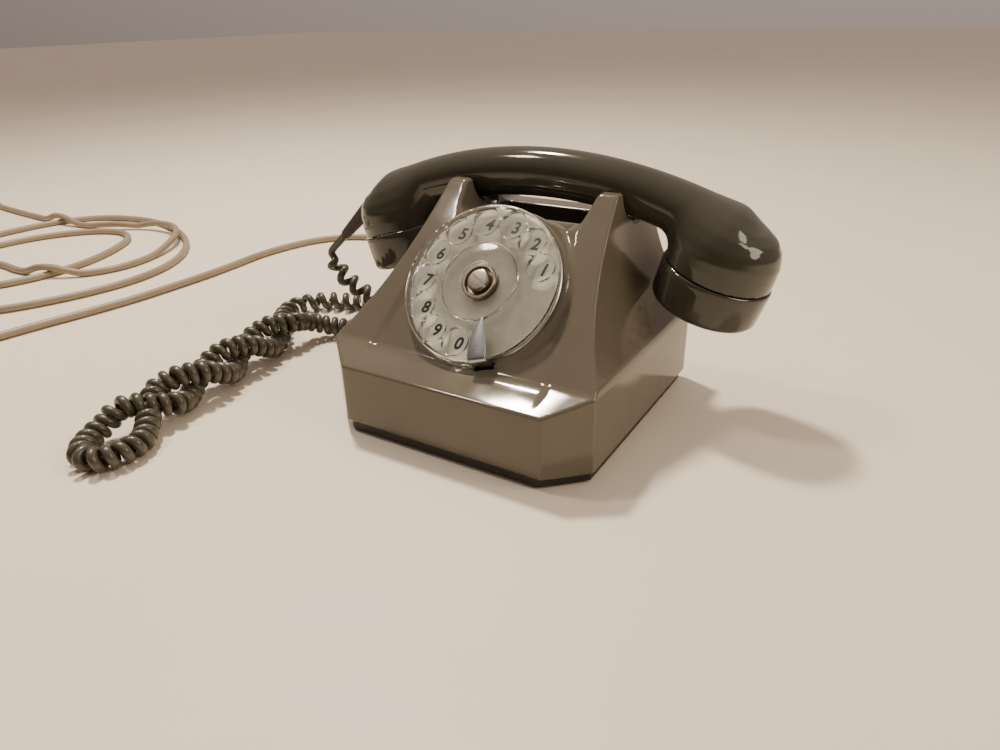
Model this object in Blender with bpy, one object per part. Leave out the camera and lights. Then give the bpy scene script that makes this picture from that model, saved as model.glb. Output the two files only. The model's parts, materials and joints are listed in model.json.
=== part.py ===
"""A desk telephone with a rotary dial: moulded housing with four cradle horns, clear finger
wheel, handset, ringer, hook switch, curly handset cord and smooth line cord.

Frame: metres, +Z up, +X to the phone's right as its user sees it, +Y to its back.
The origin is on the table under the middle of the housing.
"""

import math

import bmesh
import bpy
from mathutils import Matrix, Vector
from mathutils.geometry import interpolate_bezier

MM = 0.001
GAP = 0.3 * MM  # running gap between neighbouring solids

# Housing
WIDTH = 142 * MM
DEPTH = 138 * MM
WALL = 2.8 * MM
WALL_FOOT = 5.7 * MM  # the walls' lower edge, above the table
FRONT_TOP = 35.7 * MM  # top edge of the front wall
SIDE_TOP = 42.4 * MM  # crease where the side walls turn inwards
FRONT_CHAMFER = (17.8 * MM, 16.4 * MM)  # across x and y
REAR_CHAMFER = (5 * MM, 5 * MM)
FIN_FOOT_Y = -52 * MM  # where the horns' front faces start
FIN_SLOPE = 0.911  # rise over run of the horns' front faces
HORN_TOP = 107.8 * MM
HORN_FRONT_Y = 18 * MM
SADDLE_Z = 105.5 * MM  # centre of the round saddle that the handle lies in
SADDLE_R = 12.6 * MM
LEDGE_Z = 92.5 * MM  # floor between the left and the right horns
POCKET_HALF = 30 * MM
POCKET_Y = (22 * MM, 46 * MM)
POCKET_FLOOR = 77 * MM

# Base plate
PLATE_Z = (1.5 * MM, 5.3 * MM)
PLATE_INSET = 2 * MM
LIP_TOP = 7.2 * MM
FOOT_AT = (52 * MM, 50 * MM)
FOOT_R = 6 * MM
SCREW_Y = (-58 * MM, 60 * MM)

# Dial: its axis leaves the front face at DIAL_TILT from straight up
DIAL_AT = Vector((0, -24.2 * MM, 70.2 * MM))
DIAL_TILT = math.radians(48.7)
WHEEL_R = 38.9 * MM
WHEEL_Z = (3.9 * MM, 6.7 * MM)
HOLE_R = 6.7 * MM
HOLE_RING_R = 30.2 * MM
HOLE_COUNT = 10
HOLE_FIRST = math.radians(22)  # the hole of digit 1
HOLE_STEP = math.radians(27.3)
INNER_DISC_R = (8.8 * MM, 18.9 * MM)
CASE_R = 34.6 * MM
CASE_DEPTH = 20 * MM
STOP_ANGLE = math.radians(-68)
STOP_TIP_ANGLE = math.radians(-59)
STOP_HALF = 4.2 * MM  # half the finger stop's width
GEAR_MODULE = 1.25 * MM
GEAR_TEETH = 30
PINION_TEETH = 8
GOVERNOR_ANGLE = math.radians(117)

# Handset
HANDLE_Y = 37.5 * MM
SEAM_AT = (90.4 * MM, 73.2 * MM)  # x and z of the cap seam's centre
CAP_TILT = math.radians(17)
CAP_R = 26.4 * MM
CAP_H = 19.5 * MM

# Hook switch and ringer
PLUNGER_X = 41 * MM
PLUNGER_R = 2.3 * MM
YOKE_Z = (66.5 * MM, 69.5 * MM)
GONG_AT = (29 * MM, 37 * MM)
GONG_Z = (25 * MM, 37 * MM)
CLAPPER_PIVOT = Vector((0, 11 * MM, 29 * MM))

# Cords
LINE_D = 5.5 * MM
LEAD_D = 4.6 * MM
CURL_D = 12.4 * MM
RELIEF_R = 4.6 * MM
GLAND_R = 4.9 * MM  # of the glands' necks, inside the housing's wall
LINE_GLAND_L = 24 * MM  # how far the line cord's gland stands out
CURL_GLAND_L = 12 * MM
PLUG_L = 30 * MM
PLUG_Z = 7.2 * MM  # the plug's centre, lying flat
LINE_EXIT = Vector((-34 * MM, 69 * MM, 13.5 * MM))
CURL_EXIT = Vector((-71 * MM, 30 * MM, 13.5 * MM))

# The line cord's way over the table, from behind the phone to its plug (x, y in mm)
LINE_ROUTE = [
    (-34, 92), (-44, 118), (-78, 152), (-130, 182), (-190, 199), (-240, 203), (-278, 195),
    (-300, 174), (-311, 146), (-315, 115), (-313, 84), (-312, 54), (-313, 25), (-315, -5),
    (-320, -36), (-326, -64), (-331, -91), (-337, -122), (-355, -150), (-390, -166),
    (-435, -166), (-485, -150), (-532, -118), (-568, -74), (-588, -25), (-594, 30),
    (-591, 84), (-576, 117), (-548, 137), (-505, 145), (-457, 136), (-414, 116), (-381, 88),
    (-361, 56), (-354, 22), (-358, -10), (-368, -40), (-383, -67), (-408, -92), (-442, -106),
    (-480, -103), (-514, -82), (-540, -46), (-552, -8), (-554, 30), (-544, 64), (-522, 92),
    (-494, 104), (-467, 94), (-447, 68), (-434, 38), (-429, 6), (-433, -22), (-446, -48),
    (-469, -66), (-497, -66), (-516, -48), (-516, -22), (-494, -7), (-462, -8), (-430, -3),
    (-404, 14), (-393, 42), (-399, 76), (-417, 108), (-446, 128), (-482, 129), (-518, 114),
    (-556, 103), (-610, 101), (-665, 104), (-715, 109), (-742, 112),
]
# The curly cord from the handset's lead down to where it twists about itself (x, y, z in mm)
CURL_DROP = [
    (-153, 36.5, 45.5), (-150.5, 37, 38), (-144, 37.5, 31.5), (-135.5, 38.5, 26), (-128, 41, 20),
    (-124, 45.5, 13.5), (-127.5, 51.5, 8.5), (-137, 56, 6.8), (-152, 58, 6.6), (-167, 56, 6.6),
    (-180, 50, 6.6), (-188.5, 40, 6.6), (-190, 28, 6.6), (-184, 15, 7), (-174, 4, 8.5),
]
# The middle of the twisted stretch, from the phone to the end loop (x, y in mm)
TWIST_AXIS = [(-155, -6.7), (-152.8, -37.5), (-145.5, -77), (-141.8, -115)]
TWIST_R = 6.5 * MM
TWIST_END_ANGLE = math.radians(30)  # of the first strand at the twist's loop end
TWIST_HALF_TURNS = 3
# The loop at the far end of the twist, and the way back into the housing (x, y, z in mm)
END_LOOP = [
    (-146.5, -124, 15.5), (-149.5, -134, 10), (-147.5, -145, 6.9), (-140.5, -153, 6.6),
    (-131, -154, 6.6), (-125, -146.5, 6.6), (-124.5, -136, 6.6), (-130, -126.5, 7),
]
CURL_BACK = [
    (-151.5, 2, 14), (-148, 11, 10), (-139, 17, 7.4), (-126, 20.5, 6.8), (-111, 24, 6.8),
    (-98, 27.5, 8.4), (-89.5, 29.6, 11.6),
]


# ---------------------------------------------------------------- modelling helpers


def material(name, rgb, roughness, metallic=0.0):
    mat = bpy.data.materials.get(name) or bpy.data.materials.new(name)
    mat.use_nodes = True
    shader = mat.node_tree.nodes["Principled BSDF"]
    shader.inputs["Base Color"].default_value = (*rgb, 1)
    shader.inputs["Roughness"].default_value = roughness
    shader.inputs["Metallic"].default_value = metallic
    return mat


def place(name, bm, mat, matrix=None, parent=None, smooth=True):
    """A mesh object from bm, in its parent's frame, with its faces turned out."""
    if matrix is not None:
        bm.transform(matrix)
    bmesh.ops.recalc_face_normals(bm, faces=bm.faces)
    mesh = bpy.data.meshes.new(name)
    bm.to_mesh(mesh)
    bm.free()
    if smooth:
        mesh.shade_smooth()
        mesh.set_sharp_from_angle(angle=math.radians(35))
    obj = bpy.data.objects.new(name, mesh)
    mesh.materials.append(mat)
    bpy.context.scene.collection.objects.link(obj)
    obj.parent = parent
    return obj


def cutter(name, bm, matrix=None, parent=None):
    obj = place(name, bm, STEEL, matrix, parent, smooth=False)
    obj.hide_render = True
    obj.display_type = "WIRE"
    return obj


def boolean(obj, other, operation="DIFFERENCE"):
    mod = obj.modifiers.new(f"{operation.lower()} {other.name}", "BOOLEAN")
    mod.object = other
    mod.operation = operation
    mod.solver = "EXACT"


def turned(profile, sides=16):
    """A closed solid turned about Z from an outline of (radius, height)."""
    bm = bmesh.new()
    rings = []
    for r, z in profile:
        if r < 1e-7:
            rings.append([bm.verts.new((0, 0, z))])
            continue
        angles = [2 * math.pi * k / sides for k in range(sides)]
        rings.append([bm.verts.new((r * math.cos(a), r * math.sin(a), z)) for a in angles])
    for low, high in zip(rings, rings[1:] + rings[:1]):
        if len(low) == 1 and len(high) == 1:
            continue
        for k in range(sides):
            n = (k + 1) % sides
            corners = [low[k % len(low)], low[n % len(low)], high[n % len(high)], high[k % len(high)]]
            bm.faces.new(dict.fromkeys(corners))
    return bm


def disc(r, low, high, sides=16, hole=0.0):
    if hole:
        return turned([(hole, low), (r, low), (r, high), (hole, high)], sides)
    return turned([(0, low), (r, low), (r, high), (0, high)], sides)


def prism(outline, low, high, axis="Z"):
    """An outline of two coordinates drawn along an axis; YZ for X, XZ for Y, XY for Z."""
    bm = bmesh.new()
    to = {
        "X": lambda a, b, c: (c, a, b),
        "Y": lambda a, b, c: (a, c, b),
        "Z": lambda a, b, c: (a, b, c),
    }[axis]
    ends = [[bm.verts.new(to(a, b, c)) for a, b in outline] for c in (low, high)]
    bm.faces.new(ends[0])
    bm.faces.new(ends[1])
    for k in range(len(outline)):
        n = (k + 1) % len(outline)
        bm.faces.new((ends[0][k], ends[0][n], ends[1][n], ends[1][k]))
    return bm


def block(size, centre, bevel=0.0):
    bm = bmesh.new()
    bmesh.ops.create_cube(bm, size=1, matrix=Matrix.Diagonal((*size, 1)))
    if bevel:
        bmesh.ops.bevel(bm, geom=bm.edges, offset=bevel, segments=1, affect="EDGES")
    bm.transform(Matrix.Translation(centre))
    return bm


def loft(sections):
    """A closed tube through rings of points, with flat ends."""
    bm = bmesh.new()
    rings = [[bm.verts.new(p) for p in ring] for ring in sections]
    bm.faces.new(rings[0])
    bm.faces.new(rings[-1])
    for low, high in zip(rings, rings[1:]):
        for k in range(len(low)):
            n = (k + 1) % len(low)
            bm.faces.new((low[k], low[n], high[n], high[k]))
    return bm


def smooth_route(points, step):
    """Points a step apart on a smooth curve through the route's own points."""
    pts = [Vector(p) for p in points]
    fine = []
    for k in range(len(pts) - 1):
        before = pts[k - 1] if k else pts[k] * 2 - pts[k + 1]
        after = pts[k + 2] if k + 2 < len(pts) else pts[k + 1] * 2 - pts[k]
        a = pts[k] + (pts[k + 1] - before) / 6
        b = pts[k + 1] - (after - pts[k]) / 6
        fine += interpolate_bezier(pts[k], a, b, pts[k + 1], 13)[:-1]
    fine.append(pts[-1])
    total = sum((b - a).length for a, b in zip(fine, fine[1:]))
    count = max(2, round(total / step))
    wanted, gone, out = total / count, 0.0, [fine[0]]
    for a, b in zip(fine, fine[1:]):
        run = (b - a).length
        while run > 0 and gone + run >= wanted * len(out) - 1e-9 and len(out) < count:
            out.append(a.lerp(b, (wanted * len(out) - gone) / run))
        gone += run
    return out + [fine[-1]]


def tube(name, points, diameter, mat, resolution=2):
    curve = bpy.data.curves.new(name, "CURVE")
    curve.dimensions = "3D"
    curve.bevel_depth = diameter / 2
    curve.bevel_resolution = resolution
    curve.use_fill_caps = True
    spline = curve.splines.new("POLY")
    spline.points.add(len(points) - 1)
    for point, place_at in zip(spline.points, points):
        point.co = (*place_at, 1)
    curve.materials.append(mat)
    obj = bpy.data.objects.new(name, curve)
    bpy.context.scene.collection.objects.link(obj)
    return obj


def facing(place_at, direction):
    """A matrix that puts a shape made along +Z at a place, along a direction."""
    return Matrix.Translation(place_at) @ Vector(direction).to_track_quat("Z", "Y").to_matrix().to_4x4()


def empty(name, matrix):
    obj = bpy.data.objects.new(name, None)
    bpy.context.scene.collection.objects.link(obj)
    obj.matrix_world = matrix
    return obj


def around(centre, start, end, radius, steps):
    """Points of an arc, angles in degrees."""
    angles = [math.radians(start + (end - start) * k / steps) for k in range(steps + 1)]
    return [(centre[0] + radius * math.cos(a), centre[1] + radius * math.sin(a)) for a in angles]


# ---------------------------------------------------------------- housing


def side_x(z):
    """Half the housing's width at a height: upright below the crease, flaring above it."""
    if z <= SIDE_TOP:
        return WIDTH / 2
    return 42 * MM + 29 * MM * math.exp(-(z - SIDE_TOP) / (36 * MM))


def plan_outline(inset=0.0):
    half, deep = WIDTH / 2 - inset, DEPTH / 2 - inset
    (fx, fy), (rx, ry) = FRONT_CHAMFER, REAR_CHAMFER
    fx, fy = fx - 0.45 * inset, fy - 0.41 * inset
    right = [(half - fx, -deep), (half, fy - deep), (half, deep - ry), (half - rx, deep)]
    return right + [(-x, y) for x, y in reversed(right)]


def side_outline():
    """The housing from the side (y, z): front slope, horn, saddle, horn, back."""
    front, back = -DEPTH / 2, DEPTH / 2
    low = [(front, WALL_FOOT), (front, FRONT_TOP), (FIN_FOOT_Y, SIDE_TOP)]
    horn = [(HORN_FRONT_Y - 3 * MM, HORN_TOP - 3.2 * MM), (HORN_FRONT_Y + 1 * MM, HORN_TOP)]
    horn += [(HANDLE_Y - SADDLE_R - 1.4 * MM, HORN_TOP)]
    saddle = around((HANDLE_Y, SADDLE_Z), 180, 360, SADDLE_R, 12)
    rear_horn = [(2 * HANDLE_Y - y, z) for y, z in reversed(horn)]
    return low + horn + saddle + rear_horn + [(back, SIDE_TOP), (back, WALL_FOOT)]


def cavity_side():
    """The hollow from the side (y, z); the horns are solid above it."""
    front, back, roof = -DEPTH / 2 + WALL, DEPTH / 2 - WALL, LEDGE_Z - WALL
    rise = WALL * math.hypot(1, FIN_SLOPE)
    slope_end = FIN_FOOT_Y + (roof + rise - SIDE_TOP) / FIN_SLOPE
    low = [(front, -1 * MM), (front, FRONT_TOP - WALL), (FIN_FOOT_Y + 1 * MM, SIDE_TOP - WALL)]
    return low + [(slope_end, roof), (back - 6.5 * MM, roof), (back, SIDE_TOP), (back, -1 * MM)]


def front_outline(inset=0.0, foot=WALL_FOOT):
    """The housing from the front (x, z), with the horns' tops rounded."""
    heights = [foot, SIDE_TOP] + [SIDE_TOP + 7.2 * MM * k for k in range(1, 9)]
    right = [(side_x(z) - inset, z) for z in heights]
    right += [(side_x(HORN_TOP) - 0.4 * MM - inset, HORN_TOP - 2.5 * MM)]
    right += [(side_x(HORN_TOP) - 2.5 * MM - inset, HORN_TOP + 1 * MM)]
    return right + [(-x, z) for x, z in reversed(right)]


def middle_side(grow=0.0):
    """What is cut away between the horns, from the side (y, z): all above the front face."""
    foot = (-DEPTH / 2 - 1 * MM, FRONT_TOP - 0.1 * MM - grow)
    face = [(-49.5 * MM, 40.6 * MM - grow), (-2 * MM + grow, 84 * MM - grow)]
    face.append((5 * MM + grow, LEDGE_Z - grow))
    behind, above = DEPTH / 2 + 5 * MM, 130 * MM
    return [foot, *face, (behind, LEDGE_Z - grow), (behind, above), (foot[0], above)]


def middle_front(grow=0.0):
    """The same from the front (x, z): the horns' inner creases."""
    crease = [(56, 30), (52, 41), (49.3, 48), (45.8, 64), (41.5, 75), (36, 84)]
    crease += [(33.4, 92.5), (34.2, 99), (36.5, 109), (37, 131)]
    right = [(x * MM + grow, z * MM) for x, z in crease]
    return right + [(-x, z) for x, z in reversed(right)]


def clipped(name, outline_side, outline_front, outline_plan=None):
    """A cutter that is the common part of a side view, a front view and a plan."""
    body = cutter(name, prism(outline_side, -80 * MM, 80 * MM, "X"))
    boolean(body, cutter(f"{name}_front", prism(outline_front, -90 * MM, 90 * MM, "Y")), "INTERSECT")
    if outline_plan:
        boolean(body, cutter(f"{name}_plan", prism(outline_plan, -20 * MM, 150 * MM)), "INTERSECT")
    return body


def housing(dial):
    shell = place("housing", prism(side_outline(), -80 * MM, 80 * MM, "X"), SHELL_PLASTIC)
    boolean(shell, cutter("views_front", prism(front_outline(), -90 * MM, 90 * MM, "Y")), "INTERSECT")
    boolean(shell, cutter("views_plan", prism(plan_outline(), 0, 150 * MM)), "INTERSECT")
    boolean(shell, clipped("middle", middle_side(), middle_front()))
    boss = [(0, -34 * MM), (43 * MM, -34 * MM), (43 * MM, -6 * MM), (40.3 * MM, -GAP), (0, -GAP)]
    boolean(shell, cutter("dial_boss", turned(boss, 40), parent=dial), "UNION")
    pocket_y = (POCKET_Y[0] + POCKET_Y[1]) / 2
    pocket_size = (2 * POCKET_HALF, POCKET_Y[1] - POCKET_Y[0], 60 * MM)
    pocket_at = (0, pocket_y, POCKET_FLOOR + 30 * MM)
    boolean(shell, cutter("pocket", block(pocket_size, pocket_at)))

    cavity = clipped(
        "cavity",
        cavity_side(),
        front_outline(WALL, -1 * MM),
        plan_outline(WALL),
    )
    boolean(cavity, clipped("middle_wall", middle_side(WALL), middle_front(WALL)))
    grown = tuple(side + 2 * WALL for side in pocket_size)
    boolean(cavity, cutter("pocket_wall", block(grown, pocket_at)))
    for y in SCREW_Y:
        post = disc(4 * MM, 8 * MM, 120 * MM, 12)
        boolean(cavity, cutter("screw_post", post, Matrix.Translation((0, y, 0))))
    boolean(shell, cavity)
    for side in (-1, 1):
        bore = disc(PLUNGER_R + GAP, 60 * MM, 120 * MM, 12)
        at = Matrix.Translation((side * PLUNGER_X, HANDLE_Y, 0))
        boolean(shell, cutter(f"plunger_bore_{side}", bore, at))
    outlets = (("line_outlet", LINE_EXIT, (0, 1, 0)), ("curl_outlet", CURL_EXIT, (-1, 0, 0)))
    for name, exit_at, way in outlets:
        outlet = disc(GLAND_R + GAP, -12 * MM, 5 * MM, 14)
        boolean(shell, cutter(name, outlet, facing(exit_at, way)))
    for y in SCREW_Y:
        hole = disc(1.6 * MM, 0, 26 * MM, 10)
        boolean(shell, cutter("screw_hole", hole, Matrix.Translation((0, y, 0))))
    slot = block((2.4 * MM, 9.4 * MM, 14 * MM), (WHEEL_R + 1.7 * MM, 0, 0))
    boolean(shell, cutter("stop_slot", slot, Matrix.Rotation(STOP_ANGLE, 4, "Z"), dial))
    opening = disc(CASE_R + GAP, -40 * MM, 10 * MM, 40)
    boolean(shell, cutter("dial_opening", opening, parent=dial))
    return shell


def base_plate():
    plate = place("base_plate", prism(plan_outline(PLATE_INSET), *PLATE_Z), BLACK)
    lip = cutter("plate_lip", prism(plan_outline(WALL + GAP), PLATE_Z[0], LIP_TOP))
    boolean(lip, cutter("plate_tray", prism(plan_outline(WALL + 2 * MM), PLATE_Z[1], 20 * MM)))
    boolean(plate, lip, "UNION")
    for y in SCREW_Y:
        hole = disc(2 * MM, 0, 20 * MM, 10)
        boolean(plate, cutter("plate_hole", hole, Matrix.Translation((0, y, 0))))
    for k, (sx, sy) in enumerate([(-1, -1), (1, -1), (-1, 1), (1, 1)], 1):
        top = PLATE_Z[0] - GAP
        profile = [(0, 0), (FOOT_R - 0.8 * MM, 0), (FOOT_R, 0.7 * MM), (FOOT_R, top), (0, top)]
        foot = place(f"foot_{k}", turned(profile, 16), RUBBER)
        foot.location = (sx * FOOT_AT[0], sy * FOOT_AT[1], 0)
    for name, y in zip(("screw_front", "screw_rear"), SCREW_Y):
        head = [(0, 0.5 * MM), (3 * MM, 0.5 * MM), (3 * MM, 1.2 * MM)]
        stem = [(1.2 * MM, 1.2 * MM), (1.2 * MM, 20 * MM), (0, 20 * MM)]
        screw = place(name, turned(head + stem, 12), STEEL)
        screw.location = (0, y, 0)
        slot = block((7 * MM, 0.8 * MM, 0.6 * MM), (0, y, 0.5 * MM))
        boolean(screw, cutter(f"{name}_slot", slot))


# ---------------------------------------------------------------- dial


def gear(teeth, pitch_r, low, high, bore, turn=0.0):
    """A gear with straight-flanked teeth, thin enough to run free in mesh."""
    step = 2 * math.pi / teeth
    crown, root = pitch_r + 0.55 * GEAR_MODULE, pitch_r - 0.85 * GEAR_MODULE
    outline = []
    for k in range(teeth):
        middle = turn + k * step
        for r, share in ((root, -0.27), (crown, -0.11), (crown, 0.11), (root, 0.27)):
            a = middle + share * step
            outline.append((r * math.cos(a), r * math.sin(a)))
    bm = prism(outline, low, high)
    wheel_bore = cutter("gear_bore", disc(bore, low - 1 * MM, high + 1 * MM, 16))
    return bm, wheel_bore


def finger_wheel(dial):
    low, high = WHEEL_Z
    rim = [(INNER_DISC_R[1] + GAP, low), (WHEEL_R - 0.6 * MM, low), (WHEEL_R, low + 0.6 * MM)]
    rim += [(WHEEL_R, high - 0.8 * MM), (WHEEL_R - 0.8 * MM, high), (INNER_DISC_R[1] + GAP, high)]
    wheel = place("finger_wheel", turned(rim, 40), CLEAR, parent=dial)
    for k in range(HOLE_COUNT):
        angle = HOLE_FIRST + k * HOLE_STEP
        at = (HOLE_RING_R * math.cos(angle), HOLE_RING_R * math.sin(angle), 0)
        hole = cutter(f"finger_hole_{k}", disc(HOLE_R, 0, 12 * MM, 12), Matrix.Translation(at), dial)
        boolean(wheel, hole)
    (near, far), under = INNER_DISC_R, low + 0.6 * MM
    inner = [(near, under), (far, under), (far, high), (near, high)]
    place("inner_disc", turned(inner, 28), CLEAR, parent=dial)
    hub = [(2.8 * MM, 2.3 * MM), (8.4 * MM, 2.3 * MM), (8.4 * MM, 6.3 * MM), (7.2 * MM, 6.3 * MM)]
    hub += [(6.6 * MM, 4.4 * MM), (2.8 * MM, 4.4 * MM)]
    place("wheel_hub", turned(hub), BRASS, parent=dial)
    head = [(0, -18 * MM), (2.5 * MM, -18 * MM), (2.5 * MM, 4.7 * MM), (5.4 * MM, 4.7 * MM)]
    head += [(5.4 * MM, 6.6 * MM), (4.2 * MM, 7.8 * MM), (0, 8.2 * MM)]
    shaft = place("dial_shaft", turned(head, 16), STEEL, parent=dial)
    slot = block((12 * MM, 1.1 * MM, 2 * MM), (0, 0, 8.3 * MM))
    boolean(shaft, cutter("shaft_slot", slot, Matrix.Rotation(math.radians(-27), 4, "Z"), dial))


def dial_works(dial):
    """The fixed case, number plate and finger stop, and what turns inside the case."""
    deep = -CASE_DEPTH
    cup = [(0, deep), (CASE_R, deep), (CASE_R, 0), (38.6 * MM, 0), (38.6 * MM, 1.2 * MM)]
    cup += [(CASE_R - 1.2 * MM, 1.2 * MM), (CASE_R - 1.2 * MM, deep + 1.2 * MM), (0, deep + 1.2 * MM)]
    place("dial_case", turned(cup, 32), DIAL_METAL, parent=dial)
    plate = [(9 * MM, 1.5 * MM), (37.6 * MM, 1.5 * MM), (37.6 * MM, 2.6 * MM), (9 * MM, 2.6 * MM)]
    place("number_plate", turned(plate, 32), PLATE_CREAM, parent=dial)
    place("finger_stop", finger_stop_shape(), STEEL, parent=dial, smooth=False)

    pitch = GEAR_MODULE * GEAR_TEETH / 2
    pinion_pitch = GEAR_MODULE * PINION_TEETH / 2
    away = pitch + pinion_pitch
    at = Vector((away * math.cos(GOVERNOR_ANGLE), away * math.sin(GOVERNOR_ANGLE), 0))
    bm, bore = gear(GEAR_TEETH, pitch, -8 * MM, -6 * MM, 2.8 * MM, GOVERNOR_ANGLE)
    bore.parent = dial
    boolean(place("main_gear", bm, BRASS, parent=dial, smooth=False), bore)
    governor = empty("governor_axis", dial.matrix_world @ Matrix.Translation(at))
    facing_gap = GOVERNOR_ANGLE + math.pi + math.pi / PINION_TEETH
    bm, bore = gear(PINION_TEETH, pinion_pitch, -8.4 * MM, -5.6 * MM, 1.3 * MM, facing_gap)
    bore.parent = governor
    boolean(place("governor_pinion", bm, BRASS, parent=governor, smooth=False), bore)
    place("governor_shaft", disc(1 * MM, -18 * MM, -4 * MM, 10), STEEL, parent=governor)
    bar = block((11 * MM, 3 * MM, 2.4 * MM), (0, 0, -13.3 * MM), 0.6 * MM)
    weights = place("governor_weights", bar, BRASS, parent=governor)
    boolean(weights, cutter("weights_bore", disc(1.3 * MM, -20 * MM, -5 * MM, 10), parent=governor))
    drum = disc(7.6 * MM, -15.8 * MM, -11 * MM, 20, hole=6.4 * MM)
    place("governor_drum", drum, STEEL, parent=governor)

    cam = []
    for k in range(40):
        a = math.tau * k / 40
        r = 9.5 * MM if k % 4 == 0 and k > 3 else 11 * MM  # nine notches; the blank stretch follows 1
        cam.append((r * math.cos(a), r * math.sin(a)))
    wheel = place("pulse_cam", prism(cam, -11 * MM, -9.4 * MM), BRASS, parent=dial, smooth=False)
    boolean(wheel, cutter("cam_bore", disc(2.8 * MM, -20 * MM, 0, 12), parent=dial))
    place("mainspring", spiral(3.4 * MM, 13 * MM, 3, -16.4 * MM, -13 * MM), STEEL, parent=dial)
    stack = block((13 * MM, 8 * MM, 4 * MM), (21 * MM, 0, -10.2 * MM), 0.5 * MM)
    place("pulse_contacts", stack, BAKELITE, Matrix.Rotation(math.radians(-60), 4, "Z"), dial)


def spiral(start_r, end_r, turns, low, high, thick=0.7 * MM, steps=14):
    """A flat strip wound in a spiral about Z."""
    inner, outer = [], []
    for k in range(turns * steps + 1):
        a = math.tau * k / steps
        r = start_r + (end_r - start_r) * k / (turns * steps)
        inner.append((r * math.cos(a), r * math.sin(a)))
        outer.append(((r + thick) * math.cos(a), (r + thick) * math.sin(a)))
    sections = []
    for (ax, ay), (bx, by) in zip(inner, outer):
        sections.append([(ax, ay, low), (bx, by, low), (bx, by, high), (ax, ay, high)])
    return loft(sections)


def finger_stop_shape():
    """A bent steel strip: up past the wheel's rim, over it, and a blade to its pointed tip."""
    out = Vector((math.cos(STOP_ANGLE), math.sin(STOP_ANGLE), 0))
    across = Vector((-out.y, out.x, 0))
    tip = Vector((math.cos(STOP_TIP_ANGLE), math.sin(STOP_TIP_ANGLE), 0)) * 20 * MM
    thick = 1.1 * MM
    rim, over = WHEEL_R + 1.1 * MM, 8.3 * MM
    sections = []

    def section(at, half, away):
        side = across * half
        sections.append([at - side, at + side, at + side + away * thick, at - side + away * thick])

    # how far in from the rim, how far below the blade, and how far the strip has bent over
    for inwards, below, bent in ((0, 13.3, 0), (0, 1, 0), (0.3, 0, 0.5), (1.6, -0.4, 1)):
        away = out * math.cos(bent * math.pi / 2) + Vector((0, 0, 1)) * math.sin(bent * math.pi / 2)
        at = out * (rim - inwards * MM) + Vector((0, 0, over - below * MM))
        section(at, STOP_HALF, away)
    start = out * (rim - 1.6 * MM)
    for share, half in ((0.35, 0.93), (0.65, 0.69), (0.88, 0.33), (1.0, 0.08)):
        bow = 0.9 * MM * share * (1 - share) * 4
        at = start.lerp(tip, share) + Vector((0, 0, over + 0.4 * MM)) - across * bow
        section(at, half * STOP_HALF, Vector((0, 0, 1)))
    return loft(sections)


# ---------------------------------------------------------------- hook switch


def hook_switch():
    for name, side in (("cradle_plunger_left", -1), ("cradle_plunger_right", 1)):
        top = 94.9 * MM
        foot = YOKE_Z[1] + GAP
        profile = [(0, foot), (PLUNGER_R, foot), (PLUNGER_R, top - 1 * MM), (1.3 * MM, top), (0, top)]
        pin = place(name, turned(profile, 12), BLACK)
        pin.location = (side * PLUNGER_X, HANDLE_Y, 0)
    yoke_at = (0, HANDLE_Y, sum(YOKE_Z) / 2)
    place("hook_yoke", block((2 * PLUNGER_X + 6 * MM, 8 * MM, 3 * MM), yoke_at, 0.6 * MM), STEEL)
    place("hook_bracket", hook_bracket_shape(), STEEL, smooth=False)
    spring = []
    for k in range(45):
        a = math.tau * k / 8
        spring.append((4 * MM * math.cos(a), HANDLE_Y + 4 * MM * math.sin(a), 53.2 * MM + k * 0.277 * MM))
    tube("hook_spring", spring, 0.9 * MM, STEEL, 1)
    lever = place("hook_lever", block((6 * MM, 15 * MM, 2 * MM), (0, 7 * MM, 0), 0.5 * MM), BRASS)
    lever.location = (20 * MM, 22 * MM, 64.6 * MM)
    stack = block((12 * MM, 10 * MM, 8 * MM), (20 * MM, 21 * MM, 58 * MM), 0.5 * MM)
    place("hook_contacts", stack, BAKELITE)


def hook_bracket_shape():
    """A channel that stands on the base plate behind the ringer and carries the switch."""
    half, foot, top, thick = 58 * MM, 5.6 * MM, 52.5 * MM, 1.5 * MM
    right = [(half - thick, top - thick), (half - thick, foot), (half, foot), (half, top)]
    outline = right + [(-x, z) for x, z in reversed(right)]
    return prism(outline, 17 * MM, 43 * MM, "Y")


# ---------------------------------------------------------------- ringer and circuit


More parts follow.
